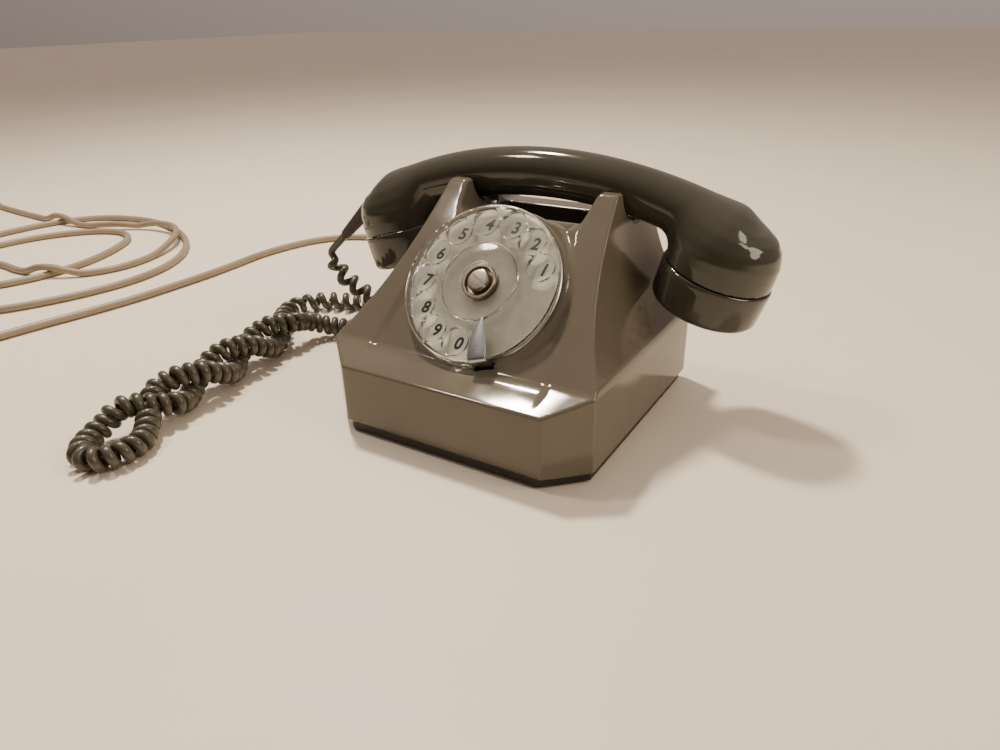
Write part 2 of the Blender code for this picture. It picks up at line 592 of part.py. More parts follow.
def ringer():
    for name, side in (("left", -1), ("right", 1)):
        at = Matrix.Translation((side * GONG_AT[0], GONG_AT[1], 0))
        outer = [(22.5, 25), (22.3, 28), (20.6, 32), (16.5, 35.4), (10, 37), (3.4, 37)]
        inner = [(3.4, 35.7), (9.8, 35.7), (15.8, 34.2), (19.4, 31.4), (21, 28), (21.2, 25)]
        gong = [(r * MM, z * MM) for r, z in outer + inner]
        place(f"gong_{name}", turned(gong, 18), BELL, at)
        post_top = GONG_Z[1] - 1.6 * MM
        place(f"gong_post_{name}", disc(3 * MM, 5.6 * MM, post_top, 12), STEEL, at)
        stem, head = 2.4 * MM, 4.6 * MM
        under = GONG_Z[1] + GAP
        screw = [(0, post_top + GAP), (stem, post_top + GAP), (stem, under), (head, under)]
        screw += [(head - 0.4 * MM, under + 1.7 * MM), (0, under + 1.9 * MM)]
        place(f"gong_screw_{name}", turned(screw, 12), STEEL, at)
        bobbin = [(0, 7.6), (8, 7.6), (8, 9), (6.6, 9), (6.6, 23), (8, 23), (8, 24.4), (0, 24.4)]
        bobbin_at = Matrix.Translation((side * 9.5 * MM, CLAPPER_PIVOT.y, 0))
        winding = turned([(r * MM, z * MM) for r, z in bobbin], 16)
        place(f"ringer_coil_{name}", winding, COPPER, bobbin_at)
    frame = block((46 * MM, 18 * MM, 1.6 * MM), (0, CLAPPER_PIVOT.y, 6.4 * MM), 0.3 * MM)
    place("ringer_frame", frame, STEEL)
    pin_at = Matrix.Translation((CLAPPER_PIVOT.x, CLAPPER_PIVOT.y, 0))
    place("clapper_pin", disc(1.2 * MM, 7.5 * MM, 33 * MM, 10), STEEL, pin_at)
    clapper()


def clapper():
    """The armature with its rod and ball, made about its pivot."""
    reach, ball_r = GONG_AT[1] - CLAPPER_PIVOT.y, 3.2 * MM
    arm = place("clapper", block((27 * MM, 5 * MM, 2.4 * MM), (0, 0, 0), 0.4 * MM), STEEL)
    rod = disc(0.9 * MM, 1 * MM, reach, 8)
    boolean(arm, cutter("clapper_rod", rod, facing((0, 0, 0), (0, 1, 0)), arm), "UNION")
    angles = [math.pi * (k / 6 - 0.5) for k in range(1, 6)]
    belly = [(ball_r * math.cos(a), ball_r * math.sin(a)) for a in angles]
    ball = turned([(0, -ball_r), *belly, (0, ball_r)], 12)
    boolean(arm, cutter("clapper_ball", ball, Matrix.Translation((0, reach, 0)), arm), "UNION")
    boolean(arm, cutter("clapper_bore", disc(1.5 * MM, -5 * MM, 5 * MM, 10), parent=arm))
    arm.location = CLAPPER_PIVOT


def circuit():
    coil = block((20 * MM, 28 * MM, 18 * MM), (50 * MM, -34 * MM, 15 * MM), 1.5 * MM)
    place("induction_coil", coil, COPPER)
    can = [(0, 0), (7.5, 0), (7.8, 0.6), (7.8, 31), (7.2, 32), (0, 32)]
    can_at = facing((-50 * MM, -50 * MM, 13.8 * MM), (0, 1, 0))
    place("capacitor", turned([(r * MM, z * MM) for r, z in can], 16), ALUMINIUM, can_at)
    terminals = block((18 * MM, 30 * MM, 9 * MM), (-46 * MM, 2 * MM, 10.4 * MM), 0.8 * MM)
    place("terminal_block", terminals, BAKELITE)


# ---------------------------------------------------------------- handset


def handle_line(x):
    """The handle's centre height at a distance from its middle."""
    return 111.3 * MM - (x * x) / (2 * 240 * MM)


def handle_sections(count, half_y, half_z, reach, sides=16):
    """Rings of the bowed handle, from the left cup to the right one, wider towards the cups."""
    rings = []
    for k in range(count + 1):
        x = reach * (2 * k / count - 1)
        grow = 1 + 0.0015 * max(0.0, abs(x) / MM - 44) ** 1.5
        slope = math.atan(-x / (240 * MM))
        ring = []
        for j in range(sides):
            a = math.tau * j / sides
            out, up = half_y * grow * math.cos(a), half_z * math.sin(a)
            z = handle_line(x) + up * math.cos(slope)
            ring.append((x - up * math.sin(slope), HANDLE_Y + out, z))
        rings.append(ring)
    return rings


def cup_frame(side):
    """The matrix of a cup, whose +Z leaves the cap and runs into the handset."""
    at = Vector((side * SEAM_AT[0], HANDLE_Y, SEAM_AT[1]))
    return Matrix.Translation(at) @ Matrix.Rotation(side * CAP_TILT, 4, "Y")


def handset():
    handle = loft(handle_sections(18, 11.3 * MM, 12.1 * MM, 88 * MM))
    shell = place("handset_shell", handle, HANDSET_PLASTIC)
    for name, side in (("left", -1), ("right", 1)):
        frame = cup_frame(side)
        cup = [(0, 0.3), (25.6, 0.3), (25.6, 7), (24.9, 13), (22.6, 18.8), (19, 22.6)]
        cup += [(14, 25.3), (7, 27.3), (0, 28)]
        body = turned([(r * MM, z * MM) for r, z in cup], 28)
        boolean(shell, cutter(f"cup_{name}", body, frame), "UNION")
    for name, side in (("left", -1), ("right", 1)):
        frame = cup_frame(side)
        hollow = [(0, -2), (22.4, -2), (22.4, 9), (17, 19), (0, 22)]
        inside = turned([(r * MM, z * MM) for r, z in hollow], 20)
        boolean(shell, cutter(f"cup_hollow_{name}", inside, frame))
    channel = handle_sections(10, 4 * MM, 4 * MM, 90 * MM, sides=8)
    boolean(shell, cutter("wire_channel", loft(channel)))
    entry = disc(RELIEF_R + GAP, -12 * MM, 20 * MM, 14)
    relief_from, relief_to = relief_ends()
    boolean(shell, cutter("cord_entry", entry, facing(relief_from, relief_to - relief_from)))
    names = (("mouthpiece_cap", "microphone_capsule", -1), ("earpiece_cap", "receiver_capsule", 1))
    for cap_name, capsule_name, side in names:
        frame = cup_frame(side)
        end = -CAP_H
        outside = [(0, end), (CAP_R - 4 * MM, end), (CAP_R - 1.4 * MM, end + 2.2 * MM)]
        outside += [(CAP_R, -2.4 * MM), (CAP_R, 0)]
        floor = end + 2.6 * MM
        inside = [(22.4 * MM, 0), (22.4 * MM, floor + 1.8 * MM), (20 * MM, floor), (0, floor)]
        cap = place(cap_name, turned(outside + inside, 28), HANDSET_PLASTIC, frame)
        for k in range(7):
            a = math.tau * k / 6
            ring = 9 * MM if k < 6 else 0
            hole = disc(1.5 * MM, end - 1 * MM, end + 5 * MM, 8)
            at = frame @ Matrix.Translation((ring * math.cos(a), ring * math.sin(a), 0))
            boolean(cap, cutter(f"{cap_name}_hole_{k}", hole, at))
        face, rim = end + 3.2 * MM, 21.4 * MM
        body = [(0, face), (rim - 2 * MM, face), (rim, face + 2.8 * MM), (rim, 2 * MM)]
        body += [(14 * MM, 8 * MM), (0, 8 * MM)]
        place(capsule_name, turned(body, 24), ALUMINIUM, frame)


def relief_ends():
    """Where the handset's rubber strain relief starts and ends."""
    return Vector((-117.5 * MM, HANDLE_Y, 83 * MM)), Vector((-141 * MM, 36.5 * MM, 61.5 * MM))


# ---------------------------------------------------------------- cords


def twist_strands():
    """The two strands of the twisted stretch, each from the phone's end to the loop's end."""
    axis = smooth_route([(x * MM, y * MM, CURL_D / 2 + TWIST_R) for x, y in TWIST_AXIS], 3 * MM)
    strands = ([], [])
    for k, p in enumerate(axis):
        ahead = axis[min(k + 1, len(axis) - 1)] - axis[max(k - 1, 0)]
        lateral = ahead.normalized().cross(Vector((0, 0, 1)))
        left = 1 - k / (len(axis) - 1)
        angle = TWIST_END_ANGLE - math.pi * TWIST_HALF_TURNS * left
        for strand, turn in zip(strands, (0, math.pi)):
            a = angle + turn
            strand.append(p + TWIST_R * (-lateral * math.cos(a) + Vector((0, 0, 1)) * math.sin(a)))
    return strands


def curl_line():
    """The curly cord's middle line, from the handset's lead to the housing."""
    first, second = twist_strands()
    first, second = first[1:-1:4], second[1:-1:4]
    drop = [Vector(p) * MM for p in CURL_DROP]
    loop = [Vector(p) * MM for p in END_LOOP]
    back = [Vector(p) * MM for p in CURL_BACK]
    return drop + first + loop + second[::-1] + back


def over_itself(points, diameter, apart=3):
    """Lifts each later stretch of a laid cord over the earlier ones that it crosses."""
    height = [0.0] * len(points)
    reach = 4.5 * diameter
    for k, p in enumerate(points):
        for j in range(k - apart * 4):
            near = (points[j].xy - p.xy).length
            if near < reach:
                share = 0.5 + 0.5 * math.cos(math.pi * max(0.0, near - 0.5 * diameter) / reach)
                height[k] = max(height[k], (height[j] + 1.08 * diameter) * share)
    return [Vector((p.x, p.y, p.z + h)) for p, h in zip(points, height)]


def line_cord_line(step):
    route = [Vector((x * MM, y * MM, LINE_D / 2)) for x, y in LINE_ROUTE]
    fine = over_itself(smooth_route(route, 6 * MM), LINE_D)
    mouth = LINE_EXIT + Vector((0, LINE_GLAND_L + GAP, 0))
    fall = [(-1, 7, -1.2), (-5, 20, -8)]
    drop = [mouth] + [mouth + Vector(p) * MM for p in fall]
    rise = Vector((0, 0, PLUG_Z - fine[-1].z))
    return smooth_route([*drop, *fine[6:-5], fine[-3] + rise * 0.98, fine[-1] + rise], step)


def gland(name, cord_d, length, matrix):
    """A rubber gland: a neck inside the wall, a flange outside it, and a taper over the cord."""
    bore, neck = cord_d / 2 + GAP, -10 * MM
    profile = [(bore, neck), (GLAND_R, neck), (GLAND_R, GAP), (GLAND_R + 1.4 * MM, 2 * GAP)]
    profile += [(GLAND_R + 1 * MM, 3 * MM), (bore + 0.8 * MM, length), (bore, length)]
    place(name, turned(profile, 16), RUBBER, matrix)


def cords():
    gland("line_cord_gland", LINE_D, LINE_GLAND_L, facing(LINE_EXIT, (0, 1, 0)))
    gland("curl_gland", LEAD_D, CURL_GLAND_L, facing(CURL_EXIT, (-1, 0, 0)))
    relief_from, relief_to = relief_ends()
    length = (relief_to - relief_from).length
    relief = [(0, -3 * MM), (RELIEF_R, -3 * MM), (RELIEF_R, 7 * MM), (2.9 * MM, length), (0, length)]
    relief_at = facing(relief_from, relief_to - relief_from)
    place("handset_strain_relief", turned(relief, 16), RUBBER, relief_at)

    line = line_cord_line(26 * MM)
    tube("line_cord", line, LINE_D, LINE_TAN)
    curl = smooth_route(curl_line(), 10 * MM)
    tube("curly_cord", curl, CURL_D, CURL_OLIVE)
    away = (relief_to - relief_from).normalized()
    inward = (curl[1] - curl[0]).normalized()
    lead = [relief_to + away * GAP, relief_to + away * 5 * MM]
    lead += [curl[0] - inward * 4 * MM, curl[0] - inward * 1 * MM]
    tube("curly_cord_lead", smooth_route(lead, 6 * MM), LEAD_D, CURL_OLIVE)
    outward = (curl[-1] - curl[-2]).normalized()
    gland_mouth = CURL_EXIT + Vector((-CURL_GLAND_L - GAP, 0, 0))
    tail = [curl[-1] + outward * 1 * MM, gland_mouth]
    tube("curly_cord_tail", tail, LEAD_D, CURL_OLIVE)

    way = (line[-1] - line[-2]).normalized()
    level_way = Vector((way.x, way.y, 0)).normalized()
    plug = empty("plug_frame", facing(line[-1] + level_way * 2 * GAP, level_way))
    body = block((26 * MM, 14 * MM, PLUG_L), (0, 0, PLUG_L / 2), 2.5 * MM)
    place("plug_body", body, LINE_TAN, parent=plug)
    for k in range(3):
        foot, tip = PLUG_L + GAP, PLUG_L + 15 * MM
        pin = turned([(0, foot), (2 * MM, foot), (2 * MM, tip - 1 * MM), (1.2 * MM, tip), (0, tip)], 10)
        place(f"plug_pin_{k + 1}", pin, BRASS, Matrix.Translation(((k - 1) * 8 * MM, 0, 0)), plug)


# ---------------------------------------------------------------- build

for old in list(bpy.data.objects):
    bpy.data.objects.remove(old, do_unlink=True)

SHELL_PLASTIC = material("shell_plastic", (0.19, 0.145, 0.10), 0.3)
HANDSET_PLASTIC = material("handset_plastic", (0.055, 0.046, 0.028), 0.28)
CLEAR = material("clear_acrylic", (0.8, 0.8, 0.75), 0.08)
PLATE_CREAM = material("number_plate", (0.38, 0.36, 0.26), 0.5)
DIAL_METAL = material("dial_metal", (0.5, 0.5, 0.48), 0.4, 1.0)
STEEL = material("steel", (0.55, 0.55, 0.56), 0.35, 1.0)
BRASS = material("brass", (0.7, 0.5, 0.25), 0.35, 1.0)
BELL = material("bell_metal", (0.6, 0.55, 0.45), 0.3, 1.0)
COPPER = material("copper_winding", (0.45, 0.2, 0.08), 0.5)
ALUMINIUM = material("aluminium", (0.7, 0.7, 0.7), 0.4, 1.0)
BAKELITE = material("bakelite", (0.05, 0.03, 0.02), 0.4)
BLACK = material("black_plastic", (0.015, 0.014, 0.013), 0.5)
RUBBER = material("rubber", (0.03, 0.022, 0.016), 0.7)
CURL_OLIVE = material("curly_cord", (0.06, 0.05, 0.032), 0.45)
LINE_TAN = material("line_cord", (0.36, 0.26, 0.16), 0.5)

DIAL = empty("dial_axis", Matrix.Translation(DIAL_AT) @ Matrix.Rotation(DIAL_TILT, 4, "X"))
bpy.context.view_layer.update()

housing(DIAL)
base_plate()
finger_wheel(DIAL)
dial_works(DIAL)
hook_switch()
ringer()
circuit()
handset()
cords()
bpy.context.view_layer.update()
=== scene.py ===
"""The looks of the rotary telephone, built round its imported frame.

Lengths are in millimetres (the shells, cords and dial are worked out in them) and become metres
as each mesh is made. The dial's pieces are made flat, about the dial's axis, and then tilted.
"""

import json
import math

import bmesh
import bpy
import numpy as np
from mathutils import Matrix, Vector
from mathutils.geometry import interpolate_bezier

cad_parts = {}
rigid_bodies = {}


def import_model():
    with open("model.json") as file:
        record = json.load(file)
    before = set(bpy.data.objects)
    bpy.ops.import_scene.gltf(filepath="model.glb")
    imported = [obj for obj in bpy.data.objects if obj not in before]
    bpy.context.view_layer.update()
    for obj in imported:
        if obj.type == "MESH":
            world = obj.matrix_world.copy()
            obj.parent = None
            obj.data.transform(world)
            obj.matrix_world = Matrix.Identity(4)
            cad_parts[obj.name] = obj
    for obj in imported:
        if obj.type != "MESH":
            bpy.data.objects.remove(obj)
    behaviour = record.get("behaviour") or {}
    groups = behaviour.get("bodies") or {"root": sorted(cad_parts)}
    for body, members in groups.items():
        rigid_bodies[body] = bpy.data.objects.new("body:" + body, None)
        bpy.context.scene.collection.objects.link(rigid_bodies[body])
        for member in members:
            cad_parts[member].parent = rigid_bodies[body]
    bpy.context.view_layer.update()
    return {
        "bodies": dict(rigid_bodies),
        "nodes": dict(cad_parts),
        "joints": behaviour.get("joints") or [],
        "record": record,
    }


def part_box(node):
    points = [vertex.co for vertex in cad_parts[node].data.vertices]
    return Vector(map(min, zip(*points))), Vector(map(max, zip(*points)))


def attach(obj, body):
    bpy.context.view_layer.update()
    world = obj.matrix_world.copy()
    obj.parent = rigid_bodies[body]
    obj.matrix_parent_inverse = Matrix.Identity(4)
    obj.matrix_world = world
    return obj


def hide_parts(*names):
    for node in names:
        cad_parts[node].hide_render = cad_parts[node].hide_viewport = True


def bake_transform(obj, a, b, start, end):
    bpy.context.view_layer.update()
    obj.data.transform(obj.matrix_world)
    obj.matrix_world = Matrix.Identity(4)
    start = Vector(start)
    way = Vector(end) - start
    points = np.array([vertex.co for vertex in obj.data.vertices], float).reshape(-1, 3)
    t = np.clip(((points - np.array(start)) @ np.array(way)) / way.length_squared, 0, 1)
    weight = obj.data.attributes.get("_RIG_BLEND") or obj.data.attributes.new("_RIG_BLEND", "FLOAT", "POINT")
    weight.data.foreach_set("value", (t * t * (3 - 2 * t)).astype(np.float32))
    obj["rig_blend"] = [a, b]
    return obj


MM = 0.001

# Housing
SIDE_X = 71.0
SIDE_CREASE_Z = 42.4
FIN_X = 42.0  # half width that the sides narrow towards, going up
FLARE_OUT = 29.0  # how much wider they are at the crease
FLARE_FALL = 36.0  # height in which that shrinks by a factor of e
WALL = 2.8
WALL_FOOT = 5.7
HORN_TOP = 107.8
SADDLE = (37.5, 105.5, 12.6)  # y, z and radius of the saddle under the handle
POCKET = ((-30.0, 30.0), (20.0, 46.0), 77.0)  # x, y and floor; the CAD's pocket starts at y = 22
PLUNGER_X = 41.0
PLUNGER_BORE_R = 2.6
CORD_HOLE_R = 5.2

# Dial
DIAL_AT = (0.0, -24.2, 70.2)
DIAL_TILT = math.radians(48.7)
WHEEL_R = 38.9
WHEEL_Z = (3.9, 6.7)
HOLE_R = 6.7
HOLE_RING_R = 30.2
HOLE_FIRST = math.radians(22.0)
HOLE_STEP = math.radians(27.3)
INNER_DISC_R = (8.8, 18.9)
CASE_R = 34.6
STOP_ANGLE = math.radians(-68.0)
STOP_TIP = (20.0, math.radians(-59.0))  # radius and angle of the blade's point
STOP_HALF_W = 4.2
STOP_BEND_R = 1.5
STOP_SLOT = (1.3, 4.8, 7.0)  # half sizes of the slot that the stop passes through

# Handset
HANDLE_Y = 37.5
HANDLE_TOP_Z = 111.3  # of its centre line, at the middle
HANDLE_BOW_R = 240.0
HANDLE_HALF_Y = 11.4  # at the middle; it widens from WIDEN_FROM on, along its centre line
HANDLE_HALF_Z = 12.2
WIDEN_FROM = 44.0
HANDLE_END = 102.0
CUPS_FROM_X = 50.0  # the cups lie outside this x, the handle's middle inside it
SEAM_AT = (90.4, 73.2)
CAP_TILT = math.radians(17.0)
CAP_R = 26.4
CAP_H = 19.5
SEAM_GAP = 0.3
RELIEF_FROM = Vector((-117.5, 37.5, 83.0))
RELIEF_TO = Vector((-141.0, 36.5, 61.5))

# Cords
LINE_D = 5.5
WIRE_D = 4.6  # the curly cord's wire
CURL_D = 12.4  # its coil, outside
COIL_PITCH = ((0, 45, 75, 180, 215), (10.5, 10.0, 9.0, 8.5, 5.7))  # distances along, and pitches
COIL_STEPS = 18  # points in one turn
STRAIGHT_STEP = 1.2
COIL_SWELL = (5.0, 7.0)  # lengths in which the coil widens, at its two ends
STRETCH = 85.0  # length of cord, from the handset's lead on, that opens as the handset lifts
LINE_EXIT = Vector((-34.0, 69.0, 13.5))
CURL_EXIT = Vector((-71.0, 30.0, 13.5))
LINE_GLAND_L = 24.0
CURL_GLAND_L = 12.0
PLUG_Z = 7.2

LINE_ROUTE = [
    (-34, 92), (-44, 118), (-78, 152), (-130, 182), (-190, 199), (-240, 203), (-278, 195),
    (-300, 174), (-311, 146), (-315, 115), (-313, 84), (-312, 54), (-313, 25), (-315, -5),
    (-320, -36), (-326, -64), (-331, -91), (-337, -122), (-355, -150), (-390, -166),
    (-435, -166), (-485, -150), (-532, -118), (-568, -74), (-588, -25), (-594, 30),
    (-591, 84), (-576, 117), (-548, 137), (-505, 145), (-457, 136), (-414, 116), (-381, 88),
    (-361, 56), (-354, 22), (-358, -10), (-368, -40), (-383, -67), (-408, -92), (-442, -106),
    (-480, -103), (-514, -82), (-540, -46), (-552, -8), (-554, 30), (-544, 64), (-522, 92),
    (-494, 104), (-467, 94), (-447, 68), (-434, 38), (-429, 6), (-433, -22), (-446, -48),
    (-469, -66), (-497, -66), (-516, -48), (-516, -22), (-494, -7), (-462, -8), (-430, -3),
    (-404, 14), (-393, 42), (-399, 76), (-417, 108), (-446, 128), (-482, 129), (-518, 114),
    (-556, 103), (-610, 101), (-665, 104), (-715, 109), (-742, 112),
]
CURL_DROP = [
    (-153, 36.5, 45.5), (-150.5, 37, 38), (-144, 37.5, 31.5), (-135.5, 38.5, 26), (-128, 41, 20),
    (-124, 45.5, 13.5), (-127.5, 51.5, 8.5), (-137, 56, 6.8), (-152, 58, 6.6), (-167, 56, 6.6),
    (-180, 50, 6.6), (-188.5, 40, 6.6), (-190, 28, 6.6), (-184, 15, 7), (-174, 4, 8.5),
]
TWIST_AXIS = [(-155, -6.7), (-152.8, -37.5), (-145.5, -77), (-141.8, -115)]
TWIST_R = 6.5
TWIST_END_ANGLE = math.radians(30)
TWIST_HALF_TURNS = 3
END_LOOP = [
    (-146.5, -124, 15.5), (-149.5, -134, 10), (-147.5, -145, 6.9), (-140.5, -153, 6.6),
    (-131, -154, 6.6), (-125, -146.5, 6.6), (-124.5, -136, 6.6), (-130, -126.5, 7),
]
CURL_BACK = [
    (-151.5, 2, 14), (-148, 11, 10), (-139, 17, 7.4), (-126, 20.5, 6.8), (-111, 24, 6.8),
    (-98, 27.5, 8.4), (-89.5, 29.6, 11.6),
]

CAMERA_AT = (0.17778, -0.29886, 0.18577)  # metres
CAMERA_TURN = (-31.822, 26.319, -1.397)  # yaw, pitch and roll in degrees
CAMERA_LENS = 26.69

# ---------------------------------------------------------------- distances and skins


def round_and(a, b, radius):
    """What two solids share, with the edge between them rounded."""
    corner = np.hypot(np.maximum(a + radius, 0), np.maximum(b + radius, 0))
    return np.minimum(np.maximum(a, b), -radius) + corner


def round_or(a, b, radius):
    """Two solids joined, with a fillet between them."""
    corner = np.hypot(np.maximum(radius - a, 0), np.maximum(radius - b, 0))
    return np.maximum(np.minimum(a, b), radius) - corner


def rounded(corners, radius, steps=6):
    """A closed outline with its corners turned into curves; a corner may bring its own radius."""
    out = []
    for k, corner in enumerate(corners):
        at = np.array(corner[:2], float)
        before = np.array(corners[k - 1][:2], float) - at
        after = np.array(corners[(k + 1) % len(corners)][:2], float) - at
        reach_before, reach_after = np.hypot(*before), np.hypot(*after)
        u, v = before / reach_before, after / reach_after
        half = 0.5 * math.acos(max(-1.0, min(1.0, float(u @ v))))
        r = corner[2] if len(corner) > 2 else radius
        reach = min(r / math.tan(half), 0.49 * reach_before, 0.49 * reach_after)
        if reach < 0.05:
            out.append(tuple(at))
            continue
        for t in np.linspace(0, 1, steps):
            curve = (1 - t) ** 2 * u * reach + t**2 * v * reach
            out.append(tuple(at + curve))
    return out


def outline_distance(a, b, outline):
    """Signed distance from the points (a, b) to a closed outline, negative inside it."""
    a, b = np.broadcast_arrays(np.asarray(a, float), np.asarray(b, float))
    near = np.full(a.shape, 1e9)
    inside = np.zeros(a.shape, bool)
    for (x0, y0), (x1, y1) in zip(outline, outline[1:] + outline[:1]):
        ex, ey = x1 - x0, y1 - y0
        wx, wy = a - x0, b - y0
        t = np.clip((wx * ex + wy * ey) / max(ex * ex + ey * ey, 1e-12), 0, 1)
        near = np.minimum(near, (wx - ex * t) ** 2 + (wy - ey * t) ** 2)
        if y0 != y1:
            inside ^= ((y0 > b) != (y1 > b)) & (a < x0 + (b - y0) * ex / ey)
    return np.where(inside, -1, 1) * np.sqrt(near)


def gradient(distance, points, eps=0.04):
    x, y, z = points.T
    along = [
        distance(x + eps, y, z) - distance(x - eps, y, z),
        distance(x, y + eps, z) - distance(x, y - eps, z),
        distance(x, y, z + eps) - distance(x, y, z - eps),
    ]
    return np.stack(along, 1) / (2 * eps)


def skin(distance, low, high, step):
    """Points, outward normals and faces of the surface where distance(x, y, z) is zero."""
    axes = [np.arange(a, b + step, step) for a, b in zip(low, high)]
    x, y, z = axes[0][:, None, None], axes[1][None, :, None], axes[2][None, None, :]
    d = np.broadcast_to(distance(x, y, z), [len(a) for a in axes])
    inside = d < 0
    corners = [(i, j, k) for i in (0, 1) for j in (0, 1) for k in (0, 1)]
    nx, ny, nz = (n - 1 for n in d.shape)
    count = sum(inside[i : nx + i, j : ny + j, k : nz + k].astype(np.int8) for i, j, k in corners)
    cells = np.argwhere((count > 0) & (count < 8))
    index = np.full(count.shape, -1)
    index[tuple(cells.T)] = np.arange(len(cells))
    total, hits = np.zeros((len(cells), 3)), np.zeros(len(cells))
    for a in corners:
        for axis in range(3):
            if a[axis]:
                continue
            b = np.array(a)
            b[axis] = 1
            da, db = d[tuple((cells + a).T)], d[tuple((cells + b).T)]
            cut = (da < 0) != (db < 0)
            at = np.repeat([a], len(cells), 0).astype(float)
            at[:, axis] = da / np.where(cut, da - db, 1)
            total += at * cut[:, None]
            hits += cut
    points = np.array(low) + step * (cells + total / hits[:, None])
    faces = []
    unit = np.eye(3, dtype=int)
    for axis in range(3):
        u, v = unit[(axis + 1) % 3], unit[(axis + 2) % 3]
        lower, upper = [slice(1, -1)] * 3, [slice(1, -1)] * 3
        lower[axis], upper[axis] = slice(0, -1), slice(1, None)
        a, b = inside[tuple(lower)], inside[tuple(upper)]
        for leaving in (True, False):
            p = np.argwhere(a & ~b if leaving else ~a & b) + 1 - unit[axis]
            ring = np.stack([index[tuple(c.T)] for c in (p, p - u, p - u - v, p - v)], 1)
            faces.append(ring if leaving else ring[:, ::-1])
    for _ in range(3):
        g = gradient(distance, points)
        square = np.maximum((g * g).sum(1), 0.2)
        move = np.clip(distance(*points.T) / square, -0.5 * step, 0.5 * step)
        points = points - g * move[:, None]
    g = gradient(distance, points)
    return points, g / np.maximum(np.linalg.norm(g, axis=1), 1e-6)[:, None], np.concatenate(faces)


# ---------------------------------------------------------------- pieces


def piece(name, mesh, look, body, slot, *nodes):
    """A piece that rides on a body and stands for CAD nodes."""
    mesh.materials.clear()
    mesh.materials.append(look)
    obj = bpy.data.objects.new(name, mesh)
    bpy.context.scene.collection.objects.link(obj)
    if body:
        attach(obj, body)
    if nodes:
        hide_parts(*nodes)
    return obj


def skin_mesh(name, distance, low, high, step, matrix=None):
    """The skin of a distance in millimetres, as a mesh in metres."""
    points, normals, faces = skin(distance, low, high, step)
    points = points * MM
    if matrix is not None:
        m = np.array(matrix)
        points = points @ m[:3, :3].T + m[:3, 3]
        normals = normals @ m[:3, :3].T
    mesh = bpy.data.meshes.new(name)
    mesh.from_pydata(points.tolist(), [], faces.tolist())
    mesh.shade_smooth()
    mesh.normals_split_custom_set_from_vertices(normals.tolist())
    return mesh


def turned_mesh(name, profile, matrix, sides=96, sharp=32):
    """A closed solid turned about Z from an outline of (radius, height) in millimetres."""
    bm = bmesh.new()
    rings = []
    for r, z in profile:
        if r < 1e-4:
            rings.append([bm.verts.new((0, 0, z * MM))])
            continue
        angles = [math.tau * k / sides for k in range(sides)]
        ring = [(r * math.cos(a) * MM, r * math.sin(a) * MM, z * MM) for a in angles]
        rings.append([bm.verts.new(p) for p in ring])
    for low, high in zip(rings, rings[1:] + rings[:1]):
        if len(low) == 1 and len(high) == 1:
            continue
        for k in range(sides):
            n = (k + 1) % sides
            ring = [low[k % len(low)], low[n % len(low)], high[n % len(high)], high[k % len(high)]]
            bm.faces.new(dict.fromkeys(ring))
    return finished_mesh(name, bm, matrix, sharp)


def finished_mesh(name, bm, matrix, sharp=32):
    """Turns a bmesh into a mesh in its place, smooth but for its sharp edges."""
    bmesh.ops.recalc_face_normals(bm, faces=bm.faces)
    bm.transform(matrix)
    mesh = bpy.data.meshes.new(name)
    bm.to_mesh(mesh)
    bm.free()
    mesh.shade_smooth()
    mesh.set_sharp_from_angle(angle=math.radians(sharp))
    return mesh


def cut(obj, meshes):
    """Cuts meshes out of a piece for good."""
    cutters = []
    for k, mesh in enumerate(meshes):
        cutter = bpy.data.objects.new(f"cut_{k}", mesh)
        bpy.context.scene.collection.objects.link(cutter)
        mod = obj.modifiers.new(f"cut_{k}", "BOOLEAN")
        mod.object, mod.operation, mod.solver = cutter, "DIFFERENCE", "EXACT"
        cutters.append(cutter)
    bake(obj)
    for cutter in cutters:
        bpy.data.objects.remove(cutter)


def bake(obj, sharp=32):
    """Applies a piece's modifiers to its mesh."""
    bpy.context.view_layer.update()
    graph = bpy.context.evaluated_depsgraph_get()
    mesh = bpy.data.meshes.new_from_object(obj.evaluated_get(graph))
    mesh.name = obj.name
    obj.modifiers.clear()
    obj.data = mesh
    mesh.shade_smooth()
    mesh.set_sharp_from_angle(angle=math.radians(sharp))


def tube_points(points, radii, sides):
    """Vertices and faces of a round tube along points, its section carried along without a twist."""
    pts = np.array([tuple(p) for p in points], float)
    tangents = np.gradient(pts, axis=0)
    tangents /= np.linalg.norm(tangents, axis=1)[:, None]
    normal = np.cross(tangents[0], (0, 0, 1.0))
    normal /= np.linalg.norm(normal)
    verts = []
    for p, t, r in zip(pts, tangents, radii):
        normal = normal - t * (normal @ t)
        normal /= np.linalg.norm(normal)
        other = np.cross(t, normal)
        for k in range(sides):
            a = math.tau * k / sides
            verts.append(p + r * (math.cos(a) * normal + math.sin(a) * other))
    faces = []
    for i in range(len(pts) - 1):
        for k in range(sides):
            n = (k + 1) % sides
            faces.append((i * sides + k, i * sides + n, (i + 1) * sides + n, (i + 1) * sides + k))
    last = (len(pts) - 1) * sides
    faces.append(tuple(range(sides - 1, -1, -1)))
    faces.append(tuple(last + k for k in range(sides)))
    return verts, faces


def tube_mesh(name, points, radii, sides):
    verts, faces = tube_points(points, radii, sides)
    mesh = bpy.data.meshes.new(name)
    mesh.from_pydata([tuple(v * MM) for v in verts], [], faces)
    mesh.shade_smooth()
    mesh.set_sharp_from_angle(angle=math.radians(50))
    return mesh


def facing(at, direction):
    """A matrix in metres that puts a shape made along +Z at a place, along a direction."""
    turn = Vector(direction).to_track_quat("Z", "Y").to_matrix().to_4x4()
    return Matrix.Translation(Vector(at) * MM) @ turn


# ---------------------------------------------------------------- materials


